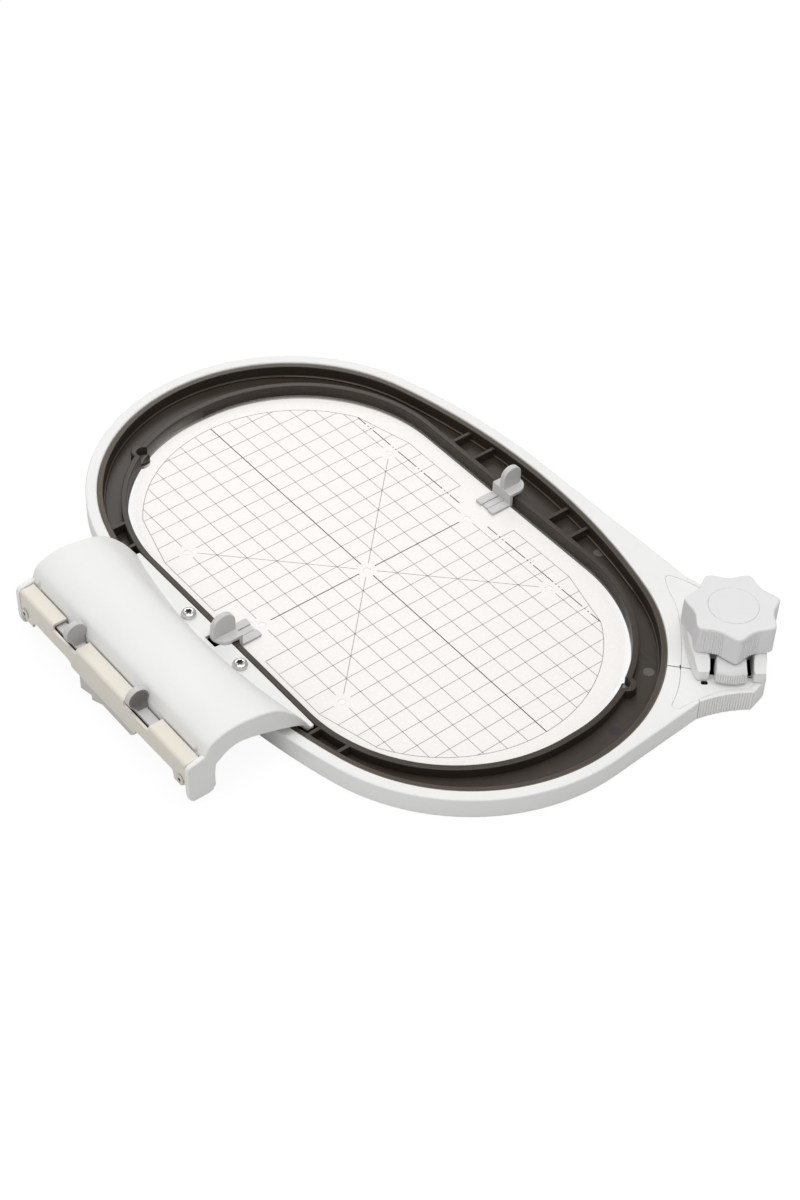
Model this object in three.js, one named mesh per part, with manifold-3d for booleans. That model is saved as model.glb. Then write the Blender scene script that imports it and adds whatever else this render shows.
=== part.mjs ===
// Machine embroidery hoop: a split outer ring with a twist-lock clamp, an inner ring that carries the
// coupling arm, and the sewing template that lies inside it.
// Millimetres, +Z up. Origin: centre of the ovals on the fabric plane, which is the template's underside.
// +X points to the clamp end of the hoop, -Y to the embroidery machine.
import * as THREE from 'three';
import { mergeVertices } from 'three/addons/utils/BufferGeometryUtils.js';
import Module from 'manifold-3d';

const wasm = await Module();
wasm.setup();

const DEGREE = Math.PI / 180;

// Clearances
const FIT = 0.3; // between fixed neighbours
const SLIDE = 0.4; // between pieces that slide on each other
const OVERCUT = 1; // how far a cutter runs past the face it opens

// Inner ring's window, and the channel from there out to the outer ring
const WINDOW_HALF_LENGTH = 138;
const WINDOW_HALF_WIDTH = 81;
const WINDOW_STRAIGHT = 3; // half of the straight run at each end of the window
const INNER_RIM = 3;
const CHANNEL_END = 13.6; // channel's width at the ends of the hoop
const CHANNEL_SIDE = 13.9; // channel's width at the middle of the long sides
const OUTER_RIM = 2.4;
const FABRIC_GAP = 0.5;

// Outer ring: a four-centre oval opening with a constant wall
const SIDE_BULGE = 9.3; // how much the opening's half width exceeds its end radius
const RING_WALL = 5.5;
const RING_HEIGHT = 11;
const TABLE_DROP = 1.4; // the table lies this far below the fabric plane
const RING_BEVEL = 0.8;

// Clamp: the knob's axle stands on a radial line from the centre of the +X end arc
const CLAMP_ANGLE = 50.1;
const AXLE_OUT = 20.9; // axle's distance from the ring's outside
const NECK_NEAR = { u: -14.4, v: -35.6 };
const NECK_FAR = { u: -14.7, v: 43.9 };
const HEAD_CORNER_U = 9.8;
const HEAD_HALF_WIDTH = 28.8;
const HEAD_FRONT_HALF = 19.8;
const HEAD_OUT = 16.3;
const FLARE_HOLLOW = 2.8; // how far the flare's control point is drawn in
const SPLIT_ANGLE = 41.4; // the split runs radially from the centre of the +X end arc
const SPLIT_GAP = 0.6;
const COVER_DEPTH = 2;
const COVER_INSET = 2.8;
const COVER_RING_MARGIN = 1.3; // cover's inner edge lies this far outside the ring's wall
const COVER_NEAR_ANGLE = 30;
const COVER_FAR_ANGLE = 66;
const APEX_RADIUS = 2.2;
const APEX_NEAR = { u: -24.4, v: -37.9 };
const APEX_FAR = { u: -22.8, v: 42 };
const VENT = { from: -13.2, to: -10.1, front: -24.8, back: -22.4 }; // slot under the fork's inner arm
const PAD_DEPTH = 2;
const PAD_RIBS = 13;
const PAD_RIB_DEPTH = 0.5;

// Clamp fork, fixed to the far end of the split ring
const FORK_HALF_WIDTH = 14.8;
const FORK_ARM = 5.1;
const FORK_FLARE = 4.8; // how far the inner side swings out towards the ring
const FORK_FRONT_V = -22.8;
const FORK_BACK_V = 17;
const FORK_HEIGHT = 9.4;
const FORK_NOSE_HEIGHT = 5.6;
const FORK_SLOPE_RUN = 6.5;
const FORK_WEB = 3.6;
const FORK_WEB_FRONT_V = -9;
const FORK_BACK_WALL = 5;
const FORK_SCREW_V = 8;
const FORK_SCREW_U = 12.2;

// Pull block, fixed to the near end of the split ring
const BLOCK_HALF_WIDTH = 6.7;
const BLOCK_FRONT_V = -23.8;
const BLOCK_CROWN = 1.5; // how far the ribbed front bulges
const BLOCK_BACK_V = -16.4;
const BLOCK_BAND = 5.6; // height of the ribbed band
const BLOCK_BAND_STEP = 0.6;
const BLOCK_RIBS = 13;
const BLOCK_RIB_DEPTH = 0.45;
const YOKE_HALF_WIDTH = 9;
const YOKE_THICKNESS = 5;

// Knob with its cam, axle screw and cap
const KNOB_LOBES = 7;
const KNOB_LOBE_RADIUS = 21.7;
const KNOB_HOLLOW_RADIUS = 18.1;
const KNOB_TIP_ROUND = 0.2; // roundness of the lobes' tips, as a share of half a lobe's pitch
const KNOB_PHASE = -37.4;
const KNOB_HEIGHT = 14.8;
const KNOB_BEVEL = 0.8;
const KNOB_RIB_DEPTH = 0.4;
const KNOB_RIBS_FROM = 0.12; // ribbed share of each lobe's pitch
const KNOB_RIBS_TO = 0.55;
const CAM_RADIUS = 4.9;
const CAM_THROW = 0.8;
const AXLE_RADIUS = 2.6;
const AXLE_HEAD_RADIUS = 4.6;
const AXLE_HEAD_HEIGHT = 2.6;
const WASHER_RADIUS = 6;
const WASHER_THICKNESS = 1;
const CAP_RADIUS = 11.2;
const CAP_THICKNESS = 2.2;

// Inner ring's heights, ribs and lugs
const INNER_BASE = -1;
const INNER_TOP = 8.8;
const INNER_RIM_TOP = 7.2;
const INNER_FLOOR_TOP = 2.2;
const RIB = 1.8;
const FAR_RIBS = [27.5, 43.5]; // distances from the middle of the far side
const NEAR_RIBS = [70.5, 86]; // distances from the middle of the arm's side
const SEAT_RIBS = [8, 42, 62]; // low ribs that carry the arm's flange
const LUG_ANGLE = 28.5;
const LUG_OUTSET = 2; // lug's centre outside the window's edge
const LUG_RADIUS = 4.6;
const LUG_HOLE = 3.2;
const LUG_LEDGE_TOP = 2.6; // half of the lug that stands inside the window

// Sewing template
const TEMPLATE_THICKNESS = 1.8;
const TEMPLATE_GAP = 0.7;
const FIELD_OFFSET = -3.1; // centre of the sewing field, along Y
const MARK_PITCH = 60;
const MARK_RADIUS = 1.6;

// Template grips
const GRIP_WIDTH = 13;
const GRIP_PLATE = 1.6;
const GRIP_TINE = 4.4;
const GRIP_TINE_LENGTH = 10.6;
const GRIP_TINE_THICKNESS = 1.5;
const GRIP_CLIP_LENGTH = 10;
const GRIP_CLIP_THICKNESS = 0.5;
const GRIP_WALL = 1.7;
const GRIP_EDGE_MARGIN = 0.3; // from the wall's outside to the template's edge
const GRIP_REACH = 10.4;
const GRIP_FIN = 3;
const GRIP_FIN_HEIGHT = 11;
const GRIP_FIN_BEVEL = 0.4;

// Coupling arm
const ARM_HALF_LENGTH = 68;
const ARM_PEAK_OUT = 14.7; // crown of the arch outside the ring's wall
const ARM_PEAK_Z = 32.9;
const ARM_FRONT_RUN = 19.6; // from the crown to the front wall
const ARM_WALL = 5.2;
const ARM_WALL_TOP = 22.8;
const ARM_WALL_BASE = 3.2;
const ARM_END_WALL = 2.6;
const ARM_SKIN = 2.5;
const ARM_DEPTH = 11.8; // depth of the end walls and ribs under the crown
const ARM_HAUNCH = 7; // depth of the end walls at the front wall
const ARM_RIB = 2;
const ARM_BAYS = 4;
const FLANGE_MARGIN = 4.2; // from the window to the flange's edge
const FLANGE_THICKNESS = 2;
const FLANGE_SEAT = 5.6;
const CREASE_DEPTH = 7.6;
const CREASE_LEAST = 0.7;
const NOTCH_HALF_WIDTH = 3.5;
const NOTCH_DEPTH = 5.8;
const LEG_REACH = 8.8; // end plates ahead of the front wall
const LEG_BASE = 0.8;
const LEG_COVER = 0.6; // how far the end plates stand above the rail
const LEG_SETBACK = 0.6; // from the wall's back to the end plate's back
const LEG_ROUND = 3;
const LEG_BEVEL = 0.5;

// Arm screws
const SCREW_SPACING = 40;
const SCREW_MARGIN = 4.1; // from the flange's edge to the screws
const SCREW_RADIUS = 1.6;
const SCREW_HEAD_RADIUS = 3.5;
const SCREW_HEAD_HEIGHT = 2;
const SCREW_LENGTH = 6;
const SCREW_SLOT = 0.9;
const BOSS_RADIUS = 4;

// Coupling rail, bent from sheet
const RAIL_SHEET = 1.2;
const RAIL_SETBACK = 0.6; // rail's front behind the front of the end plates
const RAIL_TOP = 22.2;
const RAIL_BEND = 1.7;
const RAIL_TOP_GAP = 1; // from the rail's back edge to the arm's wall
const RAIL_TAB_BASE = 6.2;
const RAIL_TAB_WIDTH = 9;
const RAIL_WEB_BASE = 10.4;
const RAIL_APRON_BASE = 7.4;
const RAIL_APRON_FAR = -24;
const RAIL_APRON_NEAR = 26;
const RAIL_WEB_RISE = 0.8; // the web's edge climbs towards the near tab
const RAIL_NEAR_STEP = 1.5; // run of the edge's steps on the near side
const RAIL_FAR_STEP = 5; // run of the edge's rounded steps on the far side
const RAIL_CORNER = 4; // chamfer of the tabs' outer corners
const RAIL_SCREW_MARGIN = 3.5; // from the rail's end to its screw
const RAIL_SCREW_Z = 11;
const RAIL_SCREW_RADIUS = 1.3;
const RAIL_SCREW_HEAD = 2.6;
const RAIL_SCREW_HEAD_HEIGHT = 1.2;
const RAIL_SCREW_LENGTH = 6;
const RAIL_BOSS = 3.4;

// Slide housing behind the rail
const HOUSING_END_GAP = 11.1; // from the rail's end to the housing's end
const HOUSING_BASE = 9.2;
const HOUSING_TOP = 17.4;
const HOUSING_FLOOR = 3;
const HOUSING_MIDDLE = 16; // width of the solid middle
const CHANNEL_WIDTH = 3.4;
const KEEL_SETBACK = 0.2; // keel's front behind the rail's front
const KEEL_FROM = -18;
const KEEL_TO = 25;
const KEEL_TOOTH = 9.2; // length of each of the two teeth
const KEEL_TOOTH_BASE = -1.1;
const KEEL_TOOTH_RISE = 3;
const KEEL_RUN_BASE = 3.4;
const KEEL_CHAMFER = 2.4;

// Release levers and their springs
const LEVER_FIN_X = 24.4;
const LEVER_FIN = 3.2;
const LEVER_FIN_HEIGHT = 12.5;
const LEVER_FIN_RADIUS = 5.35;
const LEVER_FIN_ROOT = 4.7; // length of the fin's foot on the plate
const LEVER_FIN_SWEEP = 238; // round of the fin from its back, over the top, to its overhang in front
const LEVER_FIN_BEVEL = 0.5;
const LEVER_FIN_REACH = 1.4; // how far the fin reaches past the rail's back edge
const LEVER_PLATE = 1.6;
const LEVER_PLATE_INNER = 11;
const LEVER_PLATE_OUTER = 46;
const LEVER_TRAVEL = 3.5;
const LEVER_FOOT_DROP = 10.6;
const WINDOW_OUTER_FREE = 11.7; // rail window beyond the fin's outer face
const POCKET_GAP = 0.5;
const SPRING_TURNS = 8;
const SPRING_MEAN_RADIUS = 1.05;
const SPRING_WIRE_RADIUS = 0.28;
const SPRING_STEPS = 8;
const SPRING_SIDES = 5;

// Derived places
const RING_BASE = -TABLE_DROP;
const RING_TOP = RING_BASE + RING_HEIGHT;
const WINDOW_CORNER = WINDOW_HALF_WIDTH - WINDOW_STRAIGHT;
const BOTH_RIMS = INNER_RIM + OUTER_RIM + FABRIC_GAP;
const OPENING_HALF_LENGTH = WINDOW_HALF_LENGTH + CHANNEL_END + BOTH_RIMS;
const OPENING_HALF_WIDTH = WINDOW_HALF_WIDTH + CHANNEL_SIDE + BOTH_RIMS;
const OPENING_END_RADIUS = OPENING_HALF_WIDTH - SIDE_BULGE;
const END_CENTRE = OPENING_HALF_LENGTH - OPENING_END_RADIUS;
const SIDE_RADIUS = (END_CENTRE ** 2 + OPENING_HALF_WIDTH ** 2 - OPENING_END_RADIUS ** 2)
  / (2 * (OPENING_HALF_WIDTH - OPENING_END_RADIUS));
const SIDE_CENTRE = SIDE_RADIUS - OPENING_HALF_WIDTH;
const TANGENT = Math.atan2(SIDE_CENTRE, END_CENTRE);
const RING_OUTER_END = OPENING_END_RADIUS + RING_WALL;
const AXLE_RADIUS_FROM_END = RING_OUTER_END + AXLE_OUT;
const FLANGE_EDGE = -WINDOW_HALF_WIDTH - FLANGE_MARGIN;
const SCREW_Y = FLANGE_EDGE - SCREW_MARGIN;
const ARM_PEAK_Y = -OPENING_HALF_WIDTH - RING_WALL - ARM_PEAK_OUT;
const ARM_WALL_FRONT = ARM_PEAK_Y - ARM_FRONT_RUN;
const ARM_WALL_BACK = ARM_WALL_FRONT + ARM_WALL;
const LEG_FRONT = ARM_WALL_FRONT - LEG_REACH;
const RAIL_FRONT = LEG_FRONT + RAIL_SETBACK;
const KEEL_FRONT = RAIL_FRONT + KEEL_SETBACK;
const FLANGE_TOP = FLANGE_SEAT + FLANGE_THICKNESS;
const COVER_TOP = RING_TOP;
const FORK_BASE = COVER_TOP + FIT;
const WEB_TOP = FORK_BASE + FORK_WEB;
const YOKE_BASE = WEB_TOP + SLIDE;
const YOKE_TOP = YOKE_BASE + YOKE_THICKNESS;
const FORK_TOP = FORK_BASE + FORK_HEIGHT;
const KNOB_BASE = FORK_TOP + SLIDE;
const KNOB_TOP = KNOB_BASE + KNOB_HEIGHT;
const CAP_BASE = KNOB_TOP - CAP_THICKNESS;
const AXLE_HEAD_BASE = CAP_BASE - FIT - AXLE_HEAD_HEIGHT;
const WASHER_BASE = AXLE_HEAD_BASE - FIT - WASHER_THICKNESS;
const CAM_BORE = AXLE_RADIUS + SLIDE;
const CAM_REACH = CAM_RADIUS + CAM_THROW;
const RAIL_BACK = ARM_WALL_FRONT - FIT;
const RAIL_INNER_FRONT = RAIL_FRONT + RAIL_SHEET;
const RAIL_HALF_LENGTH = ARM_HALF_LENGTH - ARM_END_WALL - FIT;
const RAIL_SCREW_X = RAIL_HALF_LENGTH - RAIL_SCREW_MARGIN;
const HOUSING_HALF_LENGTH = RAIL_HALF_LENGTH - HOUSING_END_GAP;
const FIN_INNER = LEVER_FIN_X - LEVER_FIN / 2;
const FIN_OUTER = LEVER_FIN_X + LEVER_FIN / 2;
const RAIL_WINDOW_INNER = FIN_INNER - LEVER_TRAVEL - SLIDE;
const RAIL_WINDOW_OUTER = FIN_OUTER + WINDOW_OUTER_FREE;
const HOUSING_FRONT = RAIL_INNER_FRONT + FIT;
const HOUSING_BACK = RAIL_BACK;
const HOUSING_MID_Y = (HOUSING_FRONT + HOUSING_BACK) / 2;
const LEVER_PLATE_BASE = HOUSING_TOP + SLIDE;
const LEVER_PLATE_TOP = LEVER_PLATE_BASE + LEVER_PLATE;
const SPRING_AXIS_Z = HOUSING_BASE + HOUSING_FLOOR + CHANNEL_WIDTH / 2;
const TEMPLATE_HALF_LENGTH = WINDOW_HALF_LENGTH - TEMPLATE_GAP;
const TEMPLATE_HALF_WIDTH = WINDOW_HALF_WIDTH - TEMPLATE_GAP;
const TEMPLATE_CORNER = WINDOW_CORNER - TEMPLATE_GAP;

// Materials
const plastic = (color, roughness) => new THREE.MeshStandardMaterial({ color, roughness, metalness: 0 });
const metal = (color, roughness) => new THREE.MeshStandardMaterial({ color, roughness, metalness: 1 });
const WHITE = plastic(0xecece9, 0.5);
const GREY_WHITE = plastic(0xe2e2e1, 0.5);
const DARK = plastic(0x4a4440, 0.6);
const CLEAR = new THREE.MeshStandardMaterial({ color: 0xf7f3f0, roughness: 0.2, metalness: 0 });
const LIGHT_GREY = plastic(0xc9c9cb, 0.45);
const BEIGE = plastic(0xd8d0c6, 0.45);
const NICKEL = metal(0xc8c8c8, 0.25);
const STEEL = metal(0x9a9a9c, 0.35);

/** Keeps a geometry's positions, joins shared corners and turns it into a solid. */
function solid(geometry) {
  geometry.deleteAttribute('normal');
  geometry.deleteAttribute('uv');
  const joined = mergeVertices(geometry, 1e-4);
  const index = joined.index.array;
  const triangles = [];
  for (let i = 0; i < index.length; i += 3) {
    const [a, b, c] = [index[i], index[i + 1], index[i + 2]];
    if (a !== b && b !== c && c !== a) triangles.push(a, b, c);
  }
  const vertProperties = new Float32Array(joined.attributes.position.array);
  const triVerts = new Uint32Array(triangles);
  return new wasm.Manifold(new wasm.Mesh({ numProp: 3, vertProperties, triVerts }));
}

/** Joins any number of solids. */
function join(...bodies) {
  return bodies.reduce((whole, body) => whole.add(body));
}

/** Cuts any number of solids from the first. */
function cut(body, ...cutters) {
  return cutters.reduce((rest, cutter) => rest.subtract(cutter), body);
}

/** Makes a named mesh from a finished solid. */
function piece(name, body, material) {
  const { vertProperties, triVerts } = body.getMesh();
  const geometry = new THREE.BufferGeometry();
  geometry.setAttribute('position', new THREE.BufferAttribute(new Float32Array(vertProperties), 3));
  geometry.setIndex(new THREE.BufferAttribute(new Uint32Array(triVerts), 1));
  geometry.computeVertexNormals();
  const mesh = new THREE.Mesh(geometry, material);
  mesh.name = name;
  return mesh;
}

/** Shape through plain [x, y] points. */
function polygon(points) {
  return new THREE.Shape(points.map(([x, y]) => new THREE.Vector2(x, y)));
}

/** Extrudes a shape from low to high along its own Z, with both rims bevelled. */
function extruded(shape, low, high, bevel = 0, curveSegments = 8) {
  const geometry = new THREE.ExtrudeGeometry(shape, {
    depth: high - low - 2 * bevel,
    bevelEnabled: bevel > 0,
    bevelThickness: bevel,
    bevelSize: bevel,
    bevelOffset: -bevel,
    bevelSegments: 1,
    curveSegments,
  });
  return geometry.translate(0, 0, low + bevel);
}

/** Upright prism of an XY shape. */
function prism(shape, low, high, bevel, curveSegments) {
  return solid(extruded(shape, low, high, bevel, curveSegments));
}

const TO_X = new THREE.Matrix4().makeBasis(
  new THREE.Vector3(0, 1, 0), new THREE.Vector3(0, 0, 1), new THREE.Vector3(1, 0, 0));
const TO_Y = new THREE.Matrix4().makeBasis(
  new THREE.Vector3(1, 0, 0), new THREE.Vector3(0, 0, 1), new THREE.Vector3(0, -1, 0));

/** Prism of a YZ shape, along X. */
function prismX(shape, low, high, bevel, curveSegments) {
  return solid(extruded(shape, low, high, bevel, curveSegments).applyMatrix4(TO_X));
}

/** Prism of an XZ shape, along Y. */
function prismY(shape, low, high, bevel, curveSegments) {
  return solid(extruded(shape, -high, -low, bevel, curveSegments).applyMatrix4(TO_Y));
}

/** Box between two corners. */
function box([x0, y0, z0], [x1, y1, z1]) {
  const geometry = new THREE.BoxGeometry(Math.abs(x1 - x0), y1 - y0, z1 - z0);
  return solid(geometry.translate((x0 + x1) / 2, (y0 + y1) / 2, (z0 + z1) / 2));
}

/** Upright round bar. */
function bar(x, y, radius, low, high, sides = 20) {
  const geometry = new THREE.CylinderGeometry(radius, radius, high - low, sides).rotateX(Math.PI / 2);
  return solid(geometry.translate(x, y, (low + high) / 2));
}

/** Solid of revolution about Z from [radius, z] points that start and end on the axis. */
function turned(points, sides = 18) {
  const profile = points.map(([radius, z]) => new THREE.Vector2(radius, z));
  return solid(new THREE.LatheGeometry(profile, sides).rotateX(Math.PI / 2));
}

/** Closed body through equal YZ sections, each at its own X. */
function loft(stations) {
  const count = stations[0].points.length;
  const positions = stations.flatMap(({ x, points }) => points.flatMap(([y, z]) => [x, y, z]));
  const index = [];
  for (let s = 0; s + 1 < stations.length; s += 1) {
    for (let i = 0; i < count; i += 1) {
      const a = s * count + i;
      const b = s * count + (i + 1) % count;
      index.push(a, b, b + count, a, b + count, a + count);
    }
  }
  const cap = (offset, points, flip) => {
    const corners = points.map(([y, z]) => new THREE.Vector2(y, z));
    for (const [a, b, c] of THREE.ShapeUtils.triangulateShape(corners, [])) {
      index.push(...(flip ? [a, c, b] : [a, b, c]).map((i) => i + offset));
    }
  };
  cap(0, stations[0].points, true);
  cap((stations.length - 1) * count, stations.at(-1).points, false);
  const geometry = new THREE.BufferGeometry();
  geometry.setAttribute('position', new THREE.Float32BufferAttribute(positions, 3));
  geometry.setIndex(index);
  return solid(geometry);
}

/** Four-centre oval, grown outward from the outer ring's opening. */
function oval(growth) {
  const outline = new THREE.Shape();
  const arcs = [[END_CENTRE, 0, OPENING_END_RADIUS, -TANGENT, TANGENT],
    [0, -SIDE_CENTRE, SIDE_RADIUS, TANGENT, Math.PI - TANGENT],
    [-END_CENTRE, 0, OPENING_END_RADIUS, Math.PI - TANGENT, Math.PI + TANGENT],
    [0, SIDE_CENTRE, SIDE_RADIUS, Math.PI + TANGENT, 2 * Math.PI - TANGENT]];
  for (const [x, y, radius, from, to] of arcs) outline.absarc(x, y, radius + growth, from, to);
  return outline;
}

/** Straight-sided oval with four corner arcs. */
function stadium(halfLength, halfWidth, corner, growth) {
  const outline = new THREE.Shape();
  const x = halfLength - corner;
  const y = halfWidth - corner;
  const radius = corner + growth;
  outline.absarc(x, y, radius, 0, Math.PI / 2);
  outline.absarc(-x, y, radius, Math.PI / 2, Math.PI);
  outline.absarc(-x, -y, radius, Math.PI, 1.5 * Math.PI);
  outline.absarc(x, -y, radius, 1.5 * Math.PI, 2 * Math.PI);
  return outline;
}

/** The inner ring's window, grown outward. */
function sewingWindow(growth) {
  return stadium(WINDOW_HALF_LENGTH, WINDOW_HALF_WIDTH, WINDOW_CORNER, growth);
}

/** Even stations between two ends. */
function spread(from, to, count) {
  return Array.from({ length: count }, (_, i) => from + (to - from) * i / (count - 1));
}

/** Low and high X of a stretch given on the +X side, mirrored to either side. */
function mirrored(side, near, far) {
  return side > 0 ? [near, far] : [-far, -near];
}

/** Row of rounded ribs on the unit run 0 to 1: 0 in the grooves and 1 on the ribs. */
function ribWave(t, ribs) {
  return 0.5 - 0.5 * Math.cos(2 * Math.PI * ribs * t);
}

// Clamp frame: +U points outward on the radial line, +V along the ring to the far end, origin on the axle
const clamp = new THREE.Group();
clamp.position.set(
  END_CENTRE + AXLE_RADIUS_FROM_END * Math.cos(CLAMP_ANGLE * DEGREE),
  AXLE_RADIUS_FROM_END * Math.sin(CLAMP_ANGLE * DEGREE), 0);
clamp.rotation.z = CLAMP_ANGLE * DEGREE;
clamp.updateMatrixWorld();
const TO_CLAMP = clamp.matrixWorld.clone().invert();

/** Clamp-frame point of a polar place round the centre of the +X end arc. */
function polarInClamp(radius, degrees) {
  const x = END_CENTRE + radius * Math.cos(degrees * DEGREE);
  const y = radius * Math.sin(degrees * DEGREE);
  const point = new THREE.Vector3(x, y, 0).applyMatrix4(TO_CLAMP);
  return [point.x, point.y];
}

/** Point where a line from an outside point touches a circle, on its clockwise or other side. */
function tangentPoint(point, centre, radius, side) {
  const away = new THREE.Vector2(point.x - centre.x, point.y - centre.y);
  const angle = away.angle() + side * Math.acos(radius / away.length());
  return new THREE.Vector2(centre.x + radius * Math.cos(angle), centre.y + radius * Math.sin(angle));
}

/** Flank of the clamp head, from the neck to the head's corner, drawn in by an inset. */
function flank(neck, side, inset, steps) {
  const start = new THREE.Vector2(neck.u, neck.v - side * inset);
  const end = new THREE.Vector2(HEAD_CORNER_U - inset / 2, side * (HEAD_HALF_WIDTH - inset));
  const middle = start.clone().add(end).multiplyScalar(0.5);
  const pull = new THREE.Vector2(middle.x, middle.y - side * FLARE_HOLLOW);
  return new THREE.QuadraticBezierCurve(start, pull, end).getPoints(steps).map(({ x, y }) => [x, y]);
}

const FLANK_STEPS = 6;

/** The clamp head's full outline in the clamp frame, open towards the ring. */
function headOutline(inset) {
  const near = flank(NECK_NEAR, -1, inset, FLANK_STEPS);
  const far = flank(NECK_FAR, 1, inset, FLANK_STEPS).reverse();
  const out = HEAD_OUT - inset;
  const half = HEAD_FRONT_HALF - inset / 2;
  return [...near, [out, -half], [out, half], ...far];
}

/** Plate that fills the corner between the ring and its clamp head, in the hoop's frame. */
function clampPlate() {
  const toHoop = ([u, v]) => new THREE.Vector3(u, v, 0).applyMatrix4(clamp.matrixWorld);
  const head = headOutline(0).map(toHoop);
  const sideCentre = new THREE.Vector2(0, -SIDE_CENTRE);
  const endCentre = new THREE.Vector2(END_CENTRE, 0);
  const near = tangentPoint(head[0], endCentre, RING_OUTER_END, -1);
  const far = tangentPoint(head.at(-1), sideCentre, SIDE_RADIUS + RING_WALL, 1);
  const middle = RING_WALL / 2;
  const nearAngle = Math.atan2(near.y, near.x - END_CENTRE);
  const farAngle = Math.atan2(far.y + SIDE_CENTRE, far.x);
  const outline = new THREE.Shape();
  outline.moveTo(near.x, near.y);
  for (const { x, y } of head) outline.lineTo(x, y);
  outline.lineTo(far.x, far.y);
  outline.absarc(0, -SIDE_CENTRE, SIDE_RADIUS + middle, farAngle, TANGENT, true);
  outline.absarc(END_CENTRE, 0, OPENING_END_RADIUS + middle, TANGENT, nearAngle, true);
  return prism(outline, RING_BASE, RING_TOP, RING_BEVEL);
}

/** Closed outline moved outward by a distance, with mitred corners; its points run anticlockwise. */
function grown(points, distance) {
  return points.map((point, i) => {
    const here = new THREE.Vector2(...point);
    const before = new THREE.Vector2(...points.at(i - 1));
    const after = new THREE.Vector2(...points[(i + 1) % points.length]);
    const entry = here.clone().sub(before).normalize();
    const exit = after.sub(here).normalize();
    const bisector = new THREE.Vector2(entry.y + exit.y, -entry.x - exit.x).normalize();
    const reach = distance / Math.max(0.3, bisector.x * entry.y - bisector.y * entry.x);
    return [here.x + bisector.x * reach, here.y + bisector.y * reach];
  });
}

/** Points of a small arc round a clamp-frame centre. */
function roundedApex({ u, v }, from, to) {
  return spread(from, to, 5).map((angle) =>
    [u + APEX_RADIUS * Math.cos(angle * DEGREE), v + APEX_RADIUS * Math.sin(angle * DEGREE)]);
}

/** Outline of the inlaid covers on both sides of the split, in the clamp frame. */
function coverOutline() {
  const inner = spread(COVER_FAR_ANGLE, COVER_NEAR_ANGLE, 11)
    .map((angle) => polarInClamp(RING_OUTER_END + COVER_RING_MARGIN, angle));
  return [...roundedApex(APEX_NEAR, 190, 310), ...headOutline(COVER_INSET),
    ...roundedApex(APEX_FAR, 50, 170), ...inner];
}

/** Outline of a grip pad on one flank of the head, ribbed to a depth on its outside. */
function padOutline(neck, side, ribDepth) {
  const steps = PAD_RIBS * 4;
  const outside = flank(neck, side, 0, steps).map(([u, v], i) =>
    [u, v - side * ribDepth * (1 - ribWave(i / steps, PAD_RIBS))]);
  const inside = flank(neck, side, PAD_DEPTH, FLANK_STEPS).reverse();
  const outline = [...outside, ...inside];
  return side > 0 ? outline.reverse() : outline;
}

/** Pocket for a grip pad, open to the outside of the head. */
function padPocket(neck, side) {
  const outside = flank(neck, side, -OVERCUT, FLANK_STEPS);
  const inside = flank(neck, side, PAD_DEPTH, FLANK_STEPS).reverse();
  const outline = [...outside, ...inside];
  return polygon(grown(side > 0 ? outline.reverse() : outline, FIT));
}

/** Radial strip in the clamp frame, between two distances from the split. */
function splitStrip(low, high) {
  const turn = (SPLIT_ANGLE - CLAMP_ANGLE) * DEGREE;
  const [along, across] = [[Math.cos(turn), Math.sin(turn)], [-Math.sin(turn), Math.cos(turn)]];
  const reach = AXLE_RADIUS_FROM_END + 2 * HEAD_OUT;
  const start = OPENING_END_RADIUS - RING_WALL;
  const corner = (out, aside) => [out * along[0] + aside * across[0] - AXLE_RADIUS_FROM_END,
    out * along[1] + aside * across[1]];
  return polygon([corner(start, low), corner(reach, low), corner(reach, high), corner(start, high)]);
}

/** Body that covers one side of the split, in the clamp frame. */
function sideOfSplit(near) {
  const far = 4 * HEAD_HALF_WIDTH;
  const strip = near ? splitStrip(-far, -SPLIT_GAP / 2) : splitStrip(SPLIT_GAP / 2, far);
  return prism(strip, RING_BASE - OVERCUT, RING_TOP + OVERCUT);
}

/** Moves a clamp-frame solid's geometry into the hoop's frame. */
function inHoop(shape, low, high) {
  return solid(extruded(shape, low, high).applyMatrix4(clamp.matrixWorld));
}

/** Split outer ring with the clamp's head. */
function outerRing() {
  const ringShape = oval(RING_WALL);
  ringShape.holes.push(oval(0));
  const ring = prism(ringShape, RING_BASE, RING_TOP, RING_BEVEL, 10);
  const split = splitStrip(-SPLIT_GAP / 2, SPLIT_GAP / 2);
  const cutters = [
    inHoop(polygon(grown(coverOutline(), FIT)), COVER_TOP - COVER_DEPTH - FIT, RING_TOP + OVERCUT),
    inHoop(padPocket(NECK_NEAR, -1), RING_BASE - OVERCUT, RING_TOP + OVERCUT),
    inHoop(padPocket(NECK_FAR, 1), RING_BASE - OVERCUT, RING_TOP + OVERCUT),
    inHoop(split, RING_BASE - OVERCUT, RING_TOP + OVERCUT),
  ];
  for (const [u, v] of [...forkScrews(), blockScrew()]) {
    const hole = new THREE.Shape().absarc(u, v, SCREW_RADIUS + FIT, 0, 2 * Math.PI);
    const sink = new THREE.Shape().absarc(u, v, SCREW_HEAD_RADIUS + FIT, 0, 2 * Math.PI);
    cutters.push(inHoop(hole, RING_BASE - OVERCUT, RING_TOP));
    cutters.push(inHoop(sink, RING_BASE - OVERCUT, RING_BASE + SCREW_HEAD_HEIGHT + FIT));
  }
  return cut(join(ring, clampPlate()), ...cutters);
}

/** Places of the two screws that hold the fork. */
function forkScrews() {
  return [[-FORK_SCREW_U, FORK_SCREW_V], [FORK_SCREW_U, FORK_SCREW_V]];
}

/** Place of the screw that holds the pull block. */
function blockScrew() {
  return [0, (BLOCK_FRONT_V + BLOCK_BACK_V) / 2];
}

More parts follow.
